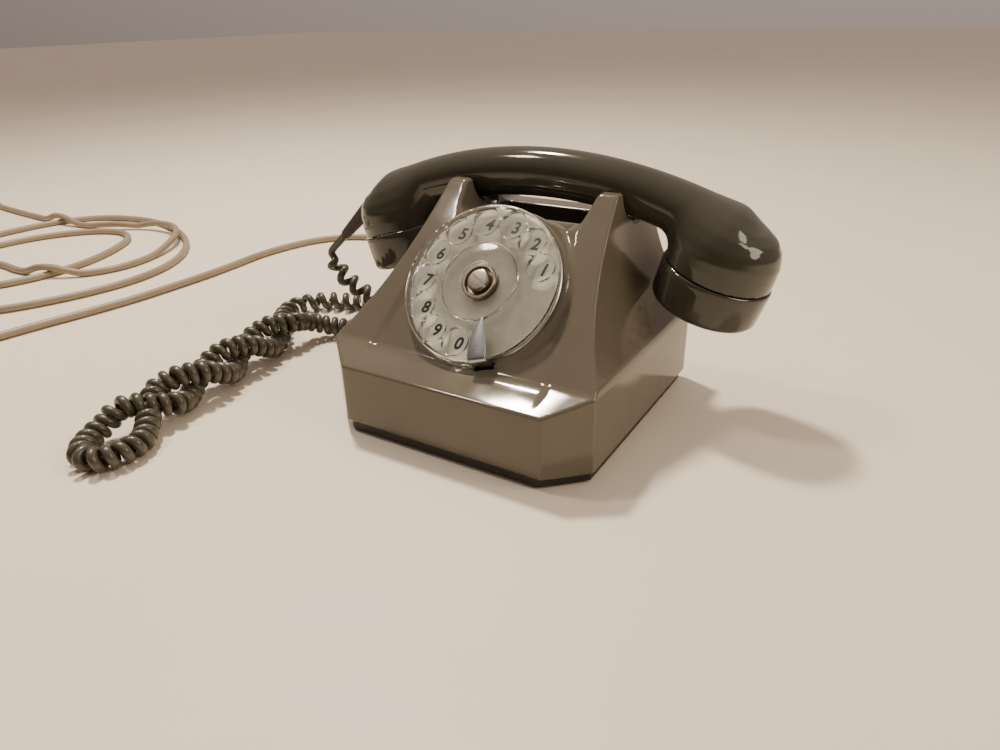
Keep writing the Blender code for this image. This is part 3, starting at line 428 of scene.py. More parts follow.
def material(name):
    mat = bpy.data.materials.new(name)
    mat.use_nodes = True
    nodes, links = mat.node_tree.nodes, mat.node_tree.links
    return mat, nodes, links, nodes["Principled BSDF"]


def noise(nodes, links, scale, detail=3.0, stretch=None):
    """A noise in the object's own coordinates; scale is in features per metre."""
    where = nodes.new("ShaderNodeTexCoord")
    texture = nodes.new("ShaderNodeTexNoise")
    texture.inputs["Scale"].default_value = scale
    texture.inputs["Detail"].default_value = detail
    source = where.outputs["Object"]
    if stretch:
        mapping = nodes.new("ShaderNodeMapping")
        mapping.inputs["Scale"].default_value = stretch
        links.new(source, mapping.inputs["Vector"])
        source = mapping.outputs["Vector"]
    links.new(source, texture.inputs["Vector"])
    return texture.outputs["Fac"]


def ramp(nodes, links, source, stops):
    """A colour ramp; stops are (position, colour)."""
    node = nodes.new("ShaderNodeValToRGB")
    elements = node.color_ramp.elements
    while len(elements) < len(stops):
        elements.new(0.5)
    for element, (position, colour) in zip(elements, stops):
        element.position = position
        element.color = (*colour, 1)
    links.new(source, node.inputs["Fac"])
    return node.outputs["Color"]


def tint(nodes, links, shader, source, stops):
    """Colours a surface by a ramp over a source."""
    links.new(ramp(nodes, links, source, stops), shader.inputs["Base Color"])


def ranged(nodes, links, source, low, high, start=0.3, end=0.7):
    """Stretches start to end of a source to low to high."""
    node = nodes.new("ShaderNodeMapRange")
    node.inputs["From Min"].default_value = start
    node.inputs["From Max"].default_value = end
    node.inputs["To Min"].default_value = low
    node.inputs["To Max"].default_value = high
    links.new(source, node.inputs["Value"])
    return node.outputs["Result"]


def bump(nodes, links, shader, height, strength, distance):
    node = nodes.new("ShaderNodeBump")
    node.inputs["Strength"].default_value = strength
    node.inputs["Distance"].default_value = distance
    links.new(height, node.inputs["Height"])
    links.new(node.outputs["Normal"], shader.inputs["Normal"])


def shade(rgb, factor):
    return tuple(min(1.0, c * factor) for c in rgb)


def moulded(name, rgb, rough, wave):
    """Glossy moulded plastic: faint unevenness of the mould, rubbed and dusty patches."""
    mat, nodes, links, shader = material(name)
    patches = noise(nodes, links, 28, 4)
    tint(nodes, links, shader, patches, [(0.3, shade(rgb, 0.93)), (0.7, shade(rgb, 1.06))])
    rub = noise(nodes, links, 90, 6)
    links.new(ranged(nodes, links, rub, *rough), shader.inputs["Roughness"])
    bump(nodes, links, shader, noise(nodes, links, 55, 2), 0.25, wave)
    return mat


def clear(name, rgb, rough=(0.03, 0.16)):
    """Clear acrylic, yellowed and finely scratched."""
    mat, nodes, links, shader = material(name)
    scratches = noise(nodes, links, 700, 3, (1, 6, 1))
    haze = noise(nodes, links, 70, 5)
    tint(nodes, links, shader, haze, [(0.35, shade(rgb, 0.95)), (0.65, rgb)])
    links.new(ranged(nodes, links, haze, *rough), shader.inputs["Roughness"])
    bump(nodes, links, shader, scratches, 0.12, 0.00003)
    shader.inputs["Transmission Weight"].default_value = 1.0
    shader.inputs["IOR"].default_value = 1.49
    return mat


def metal(name, rgb, rough, grain=(1, 1, 1)):
    """Slightly tarnished metal; grain stretches its fine lines along the axes."""
    mat, nodes, links, shader = material(name)
    tarnish = noise(nodes, links, 160, 5)
    tint(nodes, links, shader, tarnish, [(0.3, shade(rgb, 0.8)), (0.7, rgb)])
    lines = noise(nodes, links, 900, 3, grain)
    links.new(ranged(nodes, links, lines, *rough), shader.inputs["Roughness"])
    bump(nodes, links, shader, lines, 0.1, 0.00002)
    shader.inputs["Metallic"].default_value = 1.0
    return mat


def matt(name, rgb, rough, scale=300, depth=0.00006):
    """Rubber, paint or resin with a fine grain."""
    mat, nodes, links, shader = material(name)
    grain = noise(nodes, links, scale, 5)
    tint(nodes, links, shader, grain, [(0.3, shade(rgb, 0.85)), (0.7, shade(rgb, 1.12))])
    links.new(ranged(nodes, links, grain, *rough), shader.inputs["Roughness"])
    bump(nodes, links, shader, grain, 0.3, depth)
    return mat


def table():
    """Pale satin lacquer, with hardly any pattern."""
    mat, nodes, links, shader = material("floor")
    patches = noise(nodes, links, 6, 2)
    tint(nodes, links, shader, patches, [(0.3, (0.84, 0.75, 0.62)), (0.7, (0.87, 0.78, 0.65))])
    links.new(ranged(nodes, links, noise(nodes, links, 40, 4), 0.5, 0.6), shader.inputs["Roughness"])
    return mat


HOUSING = moulded("housing_plastic", (0.118, 0.102, 0.075), (0.05, 0.1), 0.00006)
HANDSET = moulded("handset_plastic", (0.050, 0.046, 0.034), (0.06, 0.12), 0.00005)
ACRYLIC = clear("clear_acrylic", (0.96, 0.955, 0.92))
PLATE = matt("number_plate_enamel", (0.66, 0.65, 0.57), (0.35, 0.55), 120, 0.00002)
INK = matt("digit_ink", (0.012, 0.012, 0.012), (0.3, 0.45), 400, 0.00001)
CASE = metal("dial_metal", (0.62, 0.61, 0.57), (0.25, 0.42))
STEEL = metal("steel", (0.50, 0.51, 0.54), (0.2, 0.36), (1, 12, 1))
BRASS = metal("brass", (0.60, 0.47, 0.29), (0.22, 0.4))
HUB = metal("dull_brass", (0.34, 0.285, 0.21), (0.25, 0.4))
SCREW = metal("screw_steel", (0.50, 0.455, 0.39), (0.2, 0.34), (1, 14, 1))
BELL = metal("bell_metal", (0.6, 0.55, 0.45), (0.18, 0.35))
COPPER = metal("copper_winding", (0.55, 0.25, 0.12), (0.3, 0.5), (1, 1, 30))
CAN = metal("can_metal", (0.7, 0.7, 0.7), (0.3, 0.45))
BAKELITE = matt("bakelite", (0.05, 0.03, 0.02), (0.25, 0.4), 200, 0.00002)
BLACK = matt("black_plastic", (0.012, 0.011, 0.010), (0.45, 0.6))
RUBBER = matt("rubber", (0.035, 0.027, 0.02), (0.5, 0.7))
CURLY = moulded("curly_vinyl", (0.075, 0.066, 0.047), (0.22, 0.36), 0.0002)
LINE = moulded("line_vinyl", (0.29, 0.225, 0.15), (0.35, 0.5), 0.0002)
FLOOR = table()

SLOT_MATERIALS = {
    "housing_plastic": HOUSING, "handset_plastic": HANDSET, "clear_acrylic": ACRYLIC,
    "number_plate": PLATE, "dial_metal": CASE, "steel": STEEL, "brass": BRASS,
    "bell_metal": BELL, "copper_winding": COPPER, "can_metal": CAN, "bakelite": BAKELITE,
    "black_plastic": BLACK, "rubber": RUBBER, "curly_cord": CURLY, "line_cord": LINE,
}


# ---------------------------------------------------------------- housing

FIN_FOOT = (-52.0, SIDE_CREASE_Z)
SIDE_VIEW = rounded(
    [(-69, -20), (-69, 35.7, 1.6), (*FIN_FOOT, 9.0), (18.8, HORN_TOP, 4.2), (24.9, HORN_TOP, 2.0)]
    + [
        (SADDLE[0] + SADDLE[2] * math.cos(a), SADDLE[1] + SADDLE[2] * math.sin(a), 0)
        for a in np.linspace(-math.pi, 0, 17)
    ]
    + [(50.1, HORN_TOP, 2.0), (57.5, HORN_TOP, 4.2), (69, SIDE_CREASE_Z, 3.0), (69, -20)],
    1.0,
)
PLAN_VIEW = rounded(
    [(-80, -69), (53.2, -69, 1.2), (71, -52.6, 1.2), (71, 69, 5.5), (-80, 69)], 1.0
)
# Between the horns: the creases seen from the front, and the face seen from the side
MIDDLE_FRONT = rounded(
    [(-70, 20), (60, 20), (52, 41, 5), (49.3, 48, 5), (45.8, 64, 12), (41.5, 75, 12), (36, 84, 12)]
    + [(33.4, 92.5, 8), (34.2, 99, 8), (36.5, 109, 5), (37.5, 140), (-70, 140)],
    0.0,
)
MIDDLE_SIDE = rounded(
    [(-90, 33.0), (-54, 41.0, 14), (-2, 84, 3), (5, 92.5, 2.5), (90, 92.5), (90, 150), (-90, 150)],
    0.0,
)
TILT_SIN, TILT_COS = math.sin(DIAL_TILT), math.cos(DIAL_TILT)
BOSS = rounded([(-60, -34), (43, -34), (43, -6.5, 6), (40.4, -0.3, 0.8), (-60, -0.3)], 0.0)


def dial_frame(x, y, z):
    """A point's two places across the dial's face, and its height over the face."""
    up = -(y - DIAL_AT[1]) * TILT_SIN + (z - DIAL_AT[2]) * TILT_COS
    along = (y - DIAL_AT[1]) * TILT_COS + (z - DIAL_AT[2]) * TILT_SIN
    return x, along, up


def housing_form(x, y, z):
    """The housing's outer form, without its underside."""
    ax = np.abs(x)
    fall = FLARE_OUT * np.exp(-(z - SIDE_CREASE_Z) / FLARE_FALL)
    flare = (ax - FIN_X - fall) / np.sqrt(1 + (fall / FLARE_FALL) ** 2)
    side = round_and(ax - SIDE_X, flare, 2.2)
    form = round_and(side, outline_distance(y, z, SIDE_VIEW), 1.3)
    form = round_and(form, outline_distance(ax, y, PLAN_VIEW), 1.0)
    front, profile = outline_distance(ax, z, MIDDLE_FRONT), outline_distance(y, z, MIDDLE_SIDE)
    form = round_and(form, -round_and(front, profile, 7.0), 1.9)
    u, v, h = dial_frame(x, y, z)
    boss = outline_distance(np.hypot(u, v), h, BOSS)
    form = round_or(form, boss, 3.0)
    (_, x1), (y0, y1), z0 = POCKET
    plan = round_and(ax - x1, np.abs(y - (y0 + y1) / 2) - (y1 - y0) / 2, 4.0)
    return round_and(form, -round_and(plan, z0 - z, 2.0), 1.0)


def housing_distance(x, y, z):
    """The housing: its form made hollow, with the openings for the dial, stop, plungers and cords."""
    form = housing_form(x, y, z)
    wall = np.maximum(form, -(form + WALL))
    wall = round_and(wall, WALL_FOOT - z, 0.5)
    u, v, h = dial_frame(x, y, z)
    opening = round_and(np.hypot(u, v) - CASE_R - 0.3, -40 - h, 0.3)
    wall = round_and(wall, -opening, 0.6)
    slot_u = u * math.cos(STOP_ANGLE) + v * math.sin(STOP_ANGLE) - WHEEL_R - 1.7
    slot_v = -u * math.sin(STOP_ANGLE) + v * math.cos(STOP_ANGLE)
    thin, wide, deep = STOP_SLOT
    slot = np.maximum(np.maximum(np.abs(slot_u) - thin, np.abs(slot_v) - wide), np.abs(h) - deep)
    wall = np.maximum(wall, -slot)
    bore = np.hypot(np.abs(x) - PLUNGER_X, y - HANDLE_Y) - PLUNGER_BORE_R
    wall = round_and(wall, -np.maximum(bore, 60 - z), 0.4)
    line_hole = np.maximum(np.hypot(x - LINE_EXIT.x, z - LINE_EXIT.z) - CORD_HOLE_R, 50 - y)
    curl_hole = np.maximum(np.hypot(y - CURL_EXIT.y, z - CURL_EXIT.z) - CORD_HOLE_R, x + 50)
    return np.maximum(np.maximum(wall, -line_hole), -curl_hole)


def housing():
    low, high = (-73.3, -71.2, 3.1), (73.3, 71.2, 110.1)
    mesh = skin_mesh("housing_shell", housing_distance, low, high, 1.15)
    piece("housing_shell", mesh, HOUSING, "base", "housing_plastic", "housing")


# ---------------------------------------------------------------- handset

CUP = rounded(
    [(-30, 0.3), (25.6, 0.3, 0.5), (25.6, 6, 9), (25.2, 12, 9), (23.4, 17.5, 9), (19.8, 22, 7)]
    + [(14.2, 25.2, 9), (6, 27.4, 9), (-2, 28.0, 9), (-30, 28.0)],
    0.0,
)
CUP_HOLLOW = rounded([(-30, -6), (22.4, -6), (22.4, 8, 3), (18, 18, 4), (-30, 20)], 0.0)
RELIEF_WAY = (RELIEF_TO - RELIEF_FROM).normalized()


def cup_frame(side):
    """The matrix of a cup, in metres; its +Z leaves the cap and runs into the handset."""
    at = Vector((side * SEAM_AT[0], HANDLE_Y, SEAM_AT[1])) * MM
    return Matrix.Translation(at) @ Matrix.Rotation(side * CAP_TILT, 4, "Y")


def handset_distance(x, y, z):
    """The handle with its two cups, hollow where the caps go on, and bored for the relief."""
    px, py, pz = (a - b for a, b in zip((x, y, z), RELIEF_FROM))
    ax, dy = np.abs(x), y - HANDLE_Y
    low = z - (HANDLE_TOP_Z - HANDLE_BOW_R)
    dz = np.hypot(ax, low) - HANDLE_BOW_R
    along = np.arctan2(ax, low) * HANDLE_BOW_R
    half_y = HANDLE_HALF_Y + 0.016 * np.maximum(0, along - WIDEN_FROM) ** 1.5
    e = np.hypot(dy / half_y, dz / HANDLE_HALF_Z)
    slope = np.hypot(dy / half_y**2, dz / HANDLE_HALF_Z**2)
    handle = (e - 1) * e / np.maximum(slope, 1e-4)
    handle = round_and(handle, along - HANDLE_END, 8)
    dx, dh = ax - SEAM_AT[0], z - SEAM_AT[1]
    h = dx * math.sin(CAP_TILT) + dh * math.cos(CAP_TILT)
    r = np.hypot(dx * math.cos(CAP_TILT) - dh * math.sin(CAP_TILT), dy)
    body = round_or(handle, outline_distance(r, h, CUP), 8)
    # The seam's plane ends the cups; 200 mm off, it leaves the handle's middle alone
    body = round_and(body, SEAM_GAP - h - 200 * (ax < CUPS_FROM_X), 0.5)
    body = round_and(body, -outline_distance(r, h, CUP_HOLLOW), 0.5)
    t = px * RELIEF_WAY.x + py * RELIEF_WAY.y + pz * RELIEF_WAY.z
    away = np.sqrt(np.maximum(px**2 + py**2 + pz**2 - t**2, 0))
    entry = np.maximum(away - 4.9, np.abs(t) - 12)
    return round_and(body, -entry, 0.4)


def cap_holes(frame):
    """Cutters for a cap's sound holes: one in the middle, then rings of six and twelve."""
    found = []
    for ring, count in ((0.0, 1), (6.0, 6), (12.0, 12)):
        for k in range(count):
            a = math.tau * k / count
            at = Matrix.Translation(Vector((ring * math.cos(a), ring * math.sin(a), 0)) * MM)
            hole = [(0, -CAP_H - 2), (1.2, -CAP_H - 2), (1.2, -CAP_H + 4), (0, -CAP_H + 4)]
            found.append(turned_mesh("hole", hole, frame @ at, 16))
    return found


def handset():
    low, high = (-121.3, 9.3, 60.2), (121.3, 65.9, 125.6)
    mesh = skin_mesh("handset_body", handset_distance, low, high, 1.05)
    piece("handset_body", mesh, HANDSET, "handset", "handset_plastic", "handset_shell")
    end, floor = -CAP_H, -CAP_H + 2.6
    outside = [(0, end + 0.4), (12, end + 0.15), (21.4, end), (23.4, end + 0.25), (24.8, end + 1.0)]
    outside += [(25.7, end + 2.2), (26.1, end + 3.8), (CAP_R, -3.0), (CAP_R, -0.75), (26.2, -0.3)]
    outside += [(25.8, 0), (22.4, 0), (22.4, floor + 1.8), (20, floor), (0, floor)]
    for name, side in (("mouthpiece_cap", -1), ("earpiece_cap", 1)):
        frame = cup_frame(side)
        mesh = turned_mesh(f"{name}_shell", outside, frame, 112, 40)
        cap = piece(f"{name}_shell", mesh, HANDSET, "handset", "handset_plastic", name)
        cut(cap, cap_holes(frame))
    relief()


def relief():
    """The tapered rubber sleeve round the lead where it leaves the handset."""
    length = (RELIEF_TO - RELIEF_FROM).length
    bore = WIRE_D / 2 + 0.1
    profile = [(bore, -3), (4.6, -3), (4.6, 3), (4.3, 9), (3.5, length - 9), (3.2, length - 3)]
    profile += [(3.0, length - 1), (2.75, length), (bore, length)]
    mesh = turned_mesh("handset_relief", profile, facing(RELIEF_FROM, RELIEF_WAY), 32, 50)
    piece("handset_relief", mesh, RUBBER, "handset", "rubber", "handset_strain_relief")


# ---------------------------------------------------------------- dial

DIAL = Matrix.Translation(Vector(DIAL_AT) * MM) @ Matrix.Rotation(DIAL_TILT, 4, "X")


def hole_centres():
    angles = [HOLE_FIRST + k * HOLE_STEP for k in range(10)]
    return [(HOLE_RING_R * math.cos(a), HOLE_RING_R * math.sin(a)) for a in angles]


def wheel_distance(x, y, z):
    """The finger wheel: a ring with ten rounded holes."""
    r = np.hypot(x, y)
    low, high = WHEEL_Z
    disc = round_and(np.abs(z - (low + high) / 2) - (high - low) / 2, r - WHEEL_R, 0.9)
    disc = round_and(disc, INNER_DISC_R[1] + 0.3 - r, 0.4)
    for u, v in hole_centres():
        away = np.hypot(x - u, y - v)
        disc = round_and(disc, HOLE_R - away, 0.45)
    return disc


def dial():
    low, high = (-39.7, -39.7, 3.2), (39.7, 39.7, 7.4)
    wheel = skin_mesh("finger_wheel_disc", wheel_distance, low, high, 0.5, DIAL)
    piece("finger_wheel_disc", wheel, ACRYLIC, "dial", "clear_acrylic", "finger_wheel")
    r0, r1 = INNER_DISC_R
    under, top = WHEEL_Z[0] + 0.6, WHEEL_Z[1]
    disc = [(r0, under), (r1, under), (r1, top - 0.4), (r1 - 0.15, top - 0.1), (r1 - 0.5, top)]
    disc += [(r0 + 1.1, top), (r0 + 0.8, top - 0.4), (r0, top - 0.7)]
    mesh = turned_mesh("inner_disc_clear", disc, DIAL, 128)
    piece("inner_disc_clear", mesh, ACRYLIC, "dial", "clear_acrylic", "inner_disc")
    hub = [(2.8, 2.3), (8.4, 2.3), (8.4, 6.0), (8.1, 6.3), (7.4, 6.3), (7.15, 6.1), (6.7, 4.6)]
    hub += [(6.3, 4.4), (2.8, 4.4)]
    piece("hub_ring", turned_mesh("hub_ring", hub, DIAL, 96), HUB, "dial", "brass", "wheel_hub")
    head = [(0, -18), (2.5, -18), (2.5, 4.7), (5.2, 4.7), (5.4, 4.9), (5.4, 6.7), (5.1, 7.45)]
    head += [(4.7, 7.65), (4.4, 7.68), (0, 7.7)]
    mesh = turned_mesh("hub_screw", head, DIAL, 64)
    shaft = piece("hub_screw", mesh, SCREW, "dial", "steel", "dial_shaft")
    bm = bmesh.new()
    size = Matrix.Diagonal((12.4 * MM, 1.1 * MM, 3.0 * MM, 1))
    bmesh.ops.create_cube(bm, size=1, matrix=Matrix.Translation((0, 0, 8.3 * MM)) @ size)
    slot = finished_mesh("slot", bm, DIAL @ Matrix.Rotation(math.radians(-27), 4, "Z"))
    cut(shaft, [slot])

    deep, rim = -20, 38.6
    cup = [(0, deep), (CASE_R, deep), (CASE_R, 0), (rim - 0.3, 0), (rim, 0.3), (rim, 0.9)]
    cup += [(rim - 0.3, 1.2), (CASE_R - 1.2, 1.2), (CASE_R - 1.2, deep + 1.2), (0, deep + 1.2)]
    mesh = turned_mesh("dial_case_cup", cup, DIAL, 128)
    piece("dial_case_cup", mesh, CASE, "base", "dial_metal", "dial_case")
    plate = [(9, 1.5), (37.6, 1.5), (37.6, 2.3), (37.3, 2.6), (23.3, 2.6), (23.0, 2.45), (9, 2.45)]
    mesh = turned_mesh("number_plate_disc", plate, DIAL, 128)
    piece("number_plate_disc", mesh, PLATE, "base", "number_plate", "number_plate")
    digits()
    finger_stop()


def digits():
    """The ten digits, raised a hair over the number plate, under their holes."""
    for k, (u, v) in enumerate(hole_centres()):
        curve = bpy.data.curves.new("digit", "FONT")
        curve.body = str((k + 1) % 10)
        curve.size = 8.2 * MM
        curve.offset = 0.22 * MM
        curve.extrude = 0.03 * MM
        curve.shear = 0.18
        curve.align_x, curve.align_y = "CENTER", "CENTER"
        text = bpy.data.objects.new("digit", curve)
        bpy.context.scene.collection.objects.link(text)
        bpy.context.view_layer.update()
        graph = bpy.context.evaluated_depsgraph_get()
        mesh = bpy.data.meshes.new_from_object(text.evaluated_get(graph))
        bpy.data.objects.remove(text)
        mesh.transform(DIAL @ Matrix.Translation(Vector((u, v, 2.66)) * MM))
        piece(f"digit_{(k + 1) % 10}", mesh, INK, "base", "number_plate")


def finger_stop():
    """A bent steel strip with a pointed blade."""
    out = Vector((math.cos(STOP_ANGLE), math.sin(STOP_ANGLE), 0))
    across = Vector((-out.y, out.x, 0))
    tip_r, tip_angle = STOP_TIP
    tip = Vector((math.cos(tip_angle), math.sin(tip_angle), 0)) * tip_r
    rim, over, thick = WHEEL_R + 1.1, 8.3, 1.0
    up = Vector((0, 0, 1))
    sections = []
    for k in range(3):
        sections.append((out * rim + up * (-5 + k * 5.6), STOP_HALF_W, out))
    for k in range(1, 7):
        a = math.pi / 2 * k / 6
        centre = out * (rim - STOP_BEND_R) + up * (over - 1.1)
        away = out * math.cos(a) + up * math.sin(a)
        sections.append((centre + away * STOP_BEND_R, STOP_HALF_W, away))
    start = out * (rim - STOP_BEND_R) + up * (over + 0.4)
    for k in range(1, 13):
        s = k / 12
        half = STOP_HALF_W * (1 - s**2.1) + 0.3
        at = start.lerp(tip + up * (over + 0.4), s) - across * 0.9 * 4 * s * (1 - s)
        sections.append((at, half, up))
    bm = bmesh.new()
    rings = []
    for at, half, away in sections:
        side = across * half
        corners = (at - side, at + side, at + side + away * thick, at - side + away * thick)
        rings.append([bm.verts.new(c * MM) for c in corners])
    bm.faces.new(rings[0])
    bm.faces.new(rings[-1])
    for a, b in zip(rings, rings[1:]):
        for k in range(4):
            n = (k + 1) % 4
            bm.faces.new((a[k], a[n], b[n], b[k]))
    mesh = finished_mesh("finger_stop_blade", bm, DIAL, 40)
    stop = piece("finger_stop_blade", mesh, STEEL, "base", "steel", "finger_stop")
    mod = stop.modifiers.new("edges", "BEVEL")
    mod.width, mod.segments, mod.limit_method = 0.25 * MM, 2, "ANGLE"
    bake(stop, 50)


# ---------------------------------------------------------------- cords


def smooth_step(t):
    t = min(1.0, max(0.0, t))
    return t * t * (3 - 2 * t)


def smooth_route(points, step):
    """Points a step apart on a smooth curve through the route's own points."""
    pts = [Vector(p) for p in points]
    fine = []
    for k in range(len(pts) - 1):
        before = pts[k - 1] if k else pts[k] * 2 - pts[k + 1]
        after = pts[k + 2] if k + 2 < len(pts) else pts[k + 1] * 2 - pts[k]
        a = pts[k] + (pts[k + 1] - before) / 6
        b = pts[k + 1] - (after - pts[k]) / 6
        fine += interpolate_bezier(pts[k], a, b, pts[k + 1], 13)[:-1]
    fine.append(pts[-1])
    total = sum((b - a).length for a, b in zip(fine, fine[1:]))
    count = max(2, round(total / step))
    wanted, gone, out = total / count, 0.0, [fine[0]]
    for a, b in zip(fine, fine[1:]):
        run = (b - a).length
        while run > 0 and gone + run >= wanted * len(out) - 1e-9 and len(out) < count:
            out.append(a.lerp(b, (wanted * len(out) - gone) / run))
        gone += run
    return out + [fine[-1]]


def twist_strands():
    """The middle lines of the two lengths of curly cord that wind about each other."""
    axis = smooth_route([(x, y, CURL_D / 2 + TWIST_R) for x, y in TWIST_AXIS], 3)
    strands = ([], [])
    for k, p in enumerate(axis):
        ahead = axis[min(k + 1, len(axis) - 1)] - axis[max(k - 1, 0)]
        lateral = ahead.normalized().cross(Vector((0, 0, 1)))
        left = 1 - k / (len(axis) - 1)
        angle = TWIST_END_ANGLE - math.pi * TWIST_HALF_TURNS * left
        for strand, turn in zip(strands, (0, math.pi)):
            a = angle + turn
            strand.append(p + TWIST_R * (-lateral * math.cos(a) + Vector((0, 0, 1)) * math.sin(a)))
    return strands


def curl_line():
    """The curly cord's middle line, from the handset's lead to the housing."""
    first, second = twist_strands()
    first, second = first[1:-1:4], second[1:-1:4]
    drop, loop, back = ([Vector(p) for p in part] for part in (CURL_DROP, END_LOOP, CURL_BACK))
    return drop + first + loop + second[::-1] + back


def over_itself(points, diameter):
    """Lifts each later stretch of a laid cord over the earlier ones that it crosses."""
    neighbours = 12  # points this close along the cord don't count as crossing
    height = [0.0] * len(points)
    reach = 4.5 * diameter
    for k, p in enumerate(points):
        for j in range(k - neighbours):
            near = (points[j].xy - p.xy).length
            if near < reach:
                share = 0.5 + 0.5 * math.cos(math.pi * max(0.0, near - 0.5 * diameter) / reach)
                height[k] = max(height[k], (height[j] + 1.08 * diameter) * share)
    return [Vector((p.x, p.y, p.z + h)) for p, h in zip(points, height)]


def line_cord():
    route = [Vector((x, y, LINE_D / 2)) for x, y in LINE_ROUTE]
    fine = over_itself(smooth_route(route, 6), LINE_D)
    mouth = LINE_EXIT + Vector((0, LINE_GLAND_L, 0))
    inside = [LINE_EXIT + Vector((0, 1, 0)), LINE_EXIT + Vector((0, LINE_GLAND_L / 2, 0))]
    fall = [mouth, mouth + Vector((-1, 7, -1.2)), mouth + Vector((-5, 20, -8))]
    rise = Vector((0, 0, PLUG_Z - fine[-1].z))
    way = [*inside, *fall, *fine[6:-5], fine[-3] + rise * 0.98, fine[-1] + rise]
    line = smooth_route(way, 3.0)
    mesh = tube_mesh("line_cord_sheath", line, [LINE_D / 2] * len(line), 14)
    cord = piece("line_cord_sheath", mesh, LINE, "base", "line_cord", "line_cord")
    gland = gland_piece("line_gland", LINE_D, LINE_GLAND_L, LINE_EXIT, (0, 1, 0), "line_cord_gland")
    plug = plug_piece(line)


def gland_piece(name, cord_d, length, at, way, node):
    """A ribbed rubber gland: a flange against the wall and a taper over the cord."""
    bore = cord_d / 2 + 0.05
    profile = [(bore, -10), (4.9, -10), (4.9, 0.3), (6.2, 0.4), (6.4, 0.7), (6.3, 2.4), (5.8, 3.1)]
    ribs = max(3, round(length / 3.4))
    for k in range(ribs):
        share = k / (ribs - 1)
        r = 5.3 - (5.3 - bore - 0.9) * share
        z = 4.4 + (length - 6.2) * share
        profile += [(r - 0.6, z - 0.7), (r, z - 0.4), (r, z + 0.5), (r - 0.6, z + 0.8)]
    profile += [(bore + 0.35, length - 0.4), (bore + 0.2, length), (bore, length)]
    mesh = turned_mesh(name, profile, facing(at, way), 32, 50)
    return piece(name, mesh, RUBBER, "base", "rubber", node)


def plug_piece(line):
    """The plug's body: a rounded block that narrows towards the cord."""
    low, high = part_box("plug_body")
    way = line[-1] - line[-3]
    way = Vector((way.x, way.y, 0)).normalized()
    frame = facing(tuple((low + high) / 2 / MM), way)
    bm = bmesh.new()
    sections = [(-14.6, 0.34, 0.62), (-13.8, 0.42, 0.72), (-6, 0.62, 0.9), (-2, 0.8, 0.97)]
    sections += [(2, 0.96, 1.0), (6, 1.0, 1.0), (13.6, 1.0, 1.0), (14.7, 0.95, 0.93)]
    rings = []
    for z, wide, thick in sections:
        ring = []
        for k in range(40):
            a = math.tau * k / 40
            c, s = math.cos(a), math.sin(a)
            x = 12.9 * wide * math.copysign(abs(c) ** 0.45, c)
            y = 6.9 * thick * math.copysign(abs(s) ** 0.45, s)
            ring.append(bm.verts.new(Vector((x, y, z)) * MM))
        rings.append(ring)
    bm.faces.new(rings[0])
    bm.faces.new(rings[-1])
    for a, b in zip(rings, rings[1:]):
        for k in range(40):
            n = (k + 1) % 40
            bm.faces.new((a[k], a[n], b[n], b[k]))
    mesh = finished_mesh("plug_shell", bm, frame, 30)
    return piece("plug_shell", mesh, LINE, "base", "line_cord", "plug_body")


def curly_cord():
    """The wire, straight in its lead and tail and wound in a helix between them."""
    middle = smooth_route(curl_line(), 1.0)
    inward = (middle[5] - middle[0]).normalized()
    outward = (middle[-1] - middle[-6]).normalized()
    lead = [RELIEF_TO - RELIEF_WAY * 6, RELIEF_TO + RELIEF_WAY * 5, middle[0] - inward * 4]
    tail = [middle[-1] + outward * 3, CURL_EXIT - Vector((CURL_GLAND_L, 0, 0)), CURL_EXIT]
    lead_line = smooth_route([*lead, middle[0]], 1.0)[:-1]
    tail_line = smooth_route([middle[-1], *tail], 1.0)[1:]
    line = lead_line + middle + tail_line
    coil_from, coil_to = len(lead_line), len(lead_line) + len(middle) - 1

    gone = np.cumsum([0.0] + [(b - a).length for a, b in zip(line, line[1:])])
    pts = np.array([tuple(p) for p in line])
    start, end = gone[coil_from], gone[coil_to]
    where, turned_by, angle = [], [], 0.0
    s = 0.0
    while s < gone[-1]:
        where.append(s)
        turned_by.append(angle)
        pitch = np.interp(s - start, *COIL_PITCH)
        coiled = start - 2 < s < end + 2
        ds = pitch / COIL_STEPS if coiled else STRAIGHT_STEP
        angle += math.tau * ds / pitch if coiled else 0
        s += ds
    where, turned_by = np.array(where), np.array(turned_by)
    centre = np.stack([np.interp(where, gone, pts[:, k]) for k in range(3)], 1)
    tangent = np.gradient(centre, axis=0)
    tangent /= np.linalg.norm(tangent, axis=1)[:, None]
    helix_r = (CURL_D - WIRE_D) / 2
    first, last = COIL_SWELL
    swell = [smooth_step((s - start) / first) * smooth_step((end - s) / last) for s in where]
    normal = np.array((0.0, 1.0, 0.0))
    path = []
    for p, t, a, share in zip(centre, tangent, turned_by, swell):
        normal = normal - t * (normal @ t)
        normal /= np.linalg.norm(normal)
        other = np.cross(t, normal)
        path.append(Vector(p + helix_r * share * (math.cos(a) * normal + math.sin(a) * other)))
    sides = 12
    mesh = tube_mesh("curly_cord_wire", path, [WIRE_D / 2] * len(path), sides)
    nodes = ("curly_cord", "curly_cord_lead", "curly_cord_tail")
    cord = piece("curly_cord_wire", mesh, CURLY, None, "curly_cord", *nodes)
    gland = gland_piece("curl_gland_sleeve", WIRE_D, CURL_GLAND_L, CURL_EXIT, (-1, 0, 0), "curl_gland")
    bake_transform(cord, "base", "handset", start=tuple(middle[60] * MM), end=tuple(middle[0] * MM))
    follow = np.repeat([1 - smooth_step((s - start) / STRETCH) for s in where], sides)
    mesh.attributes["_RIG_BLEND"].data.foreach_set("value", follow.astype(np.float32))


# ---------------------------------------------------------------- camera, lights and floor


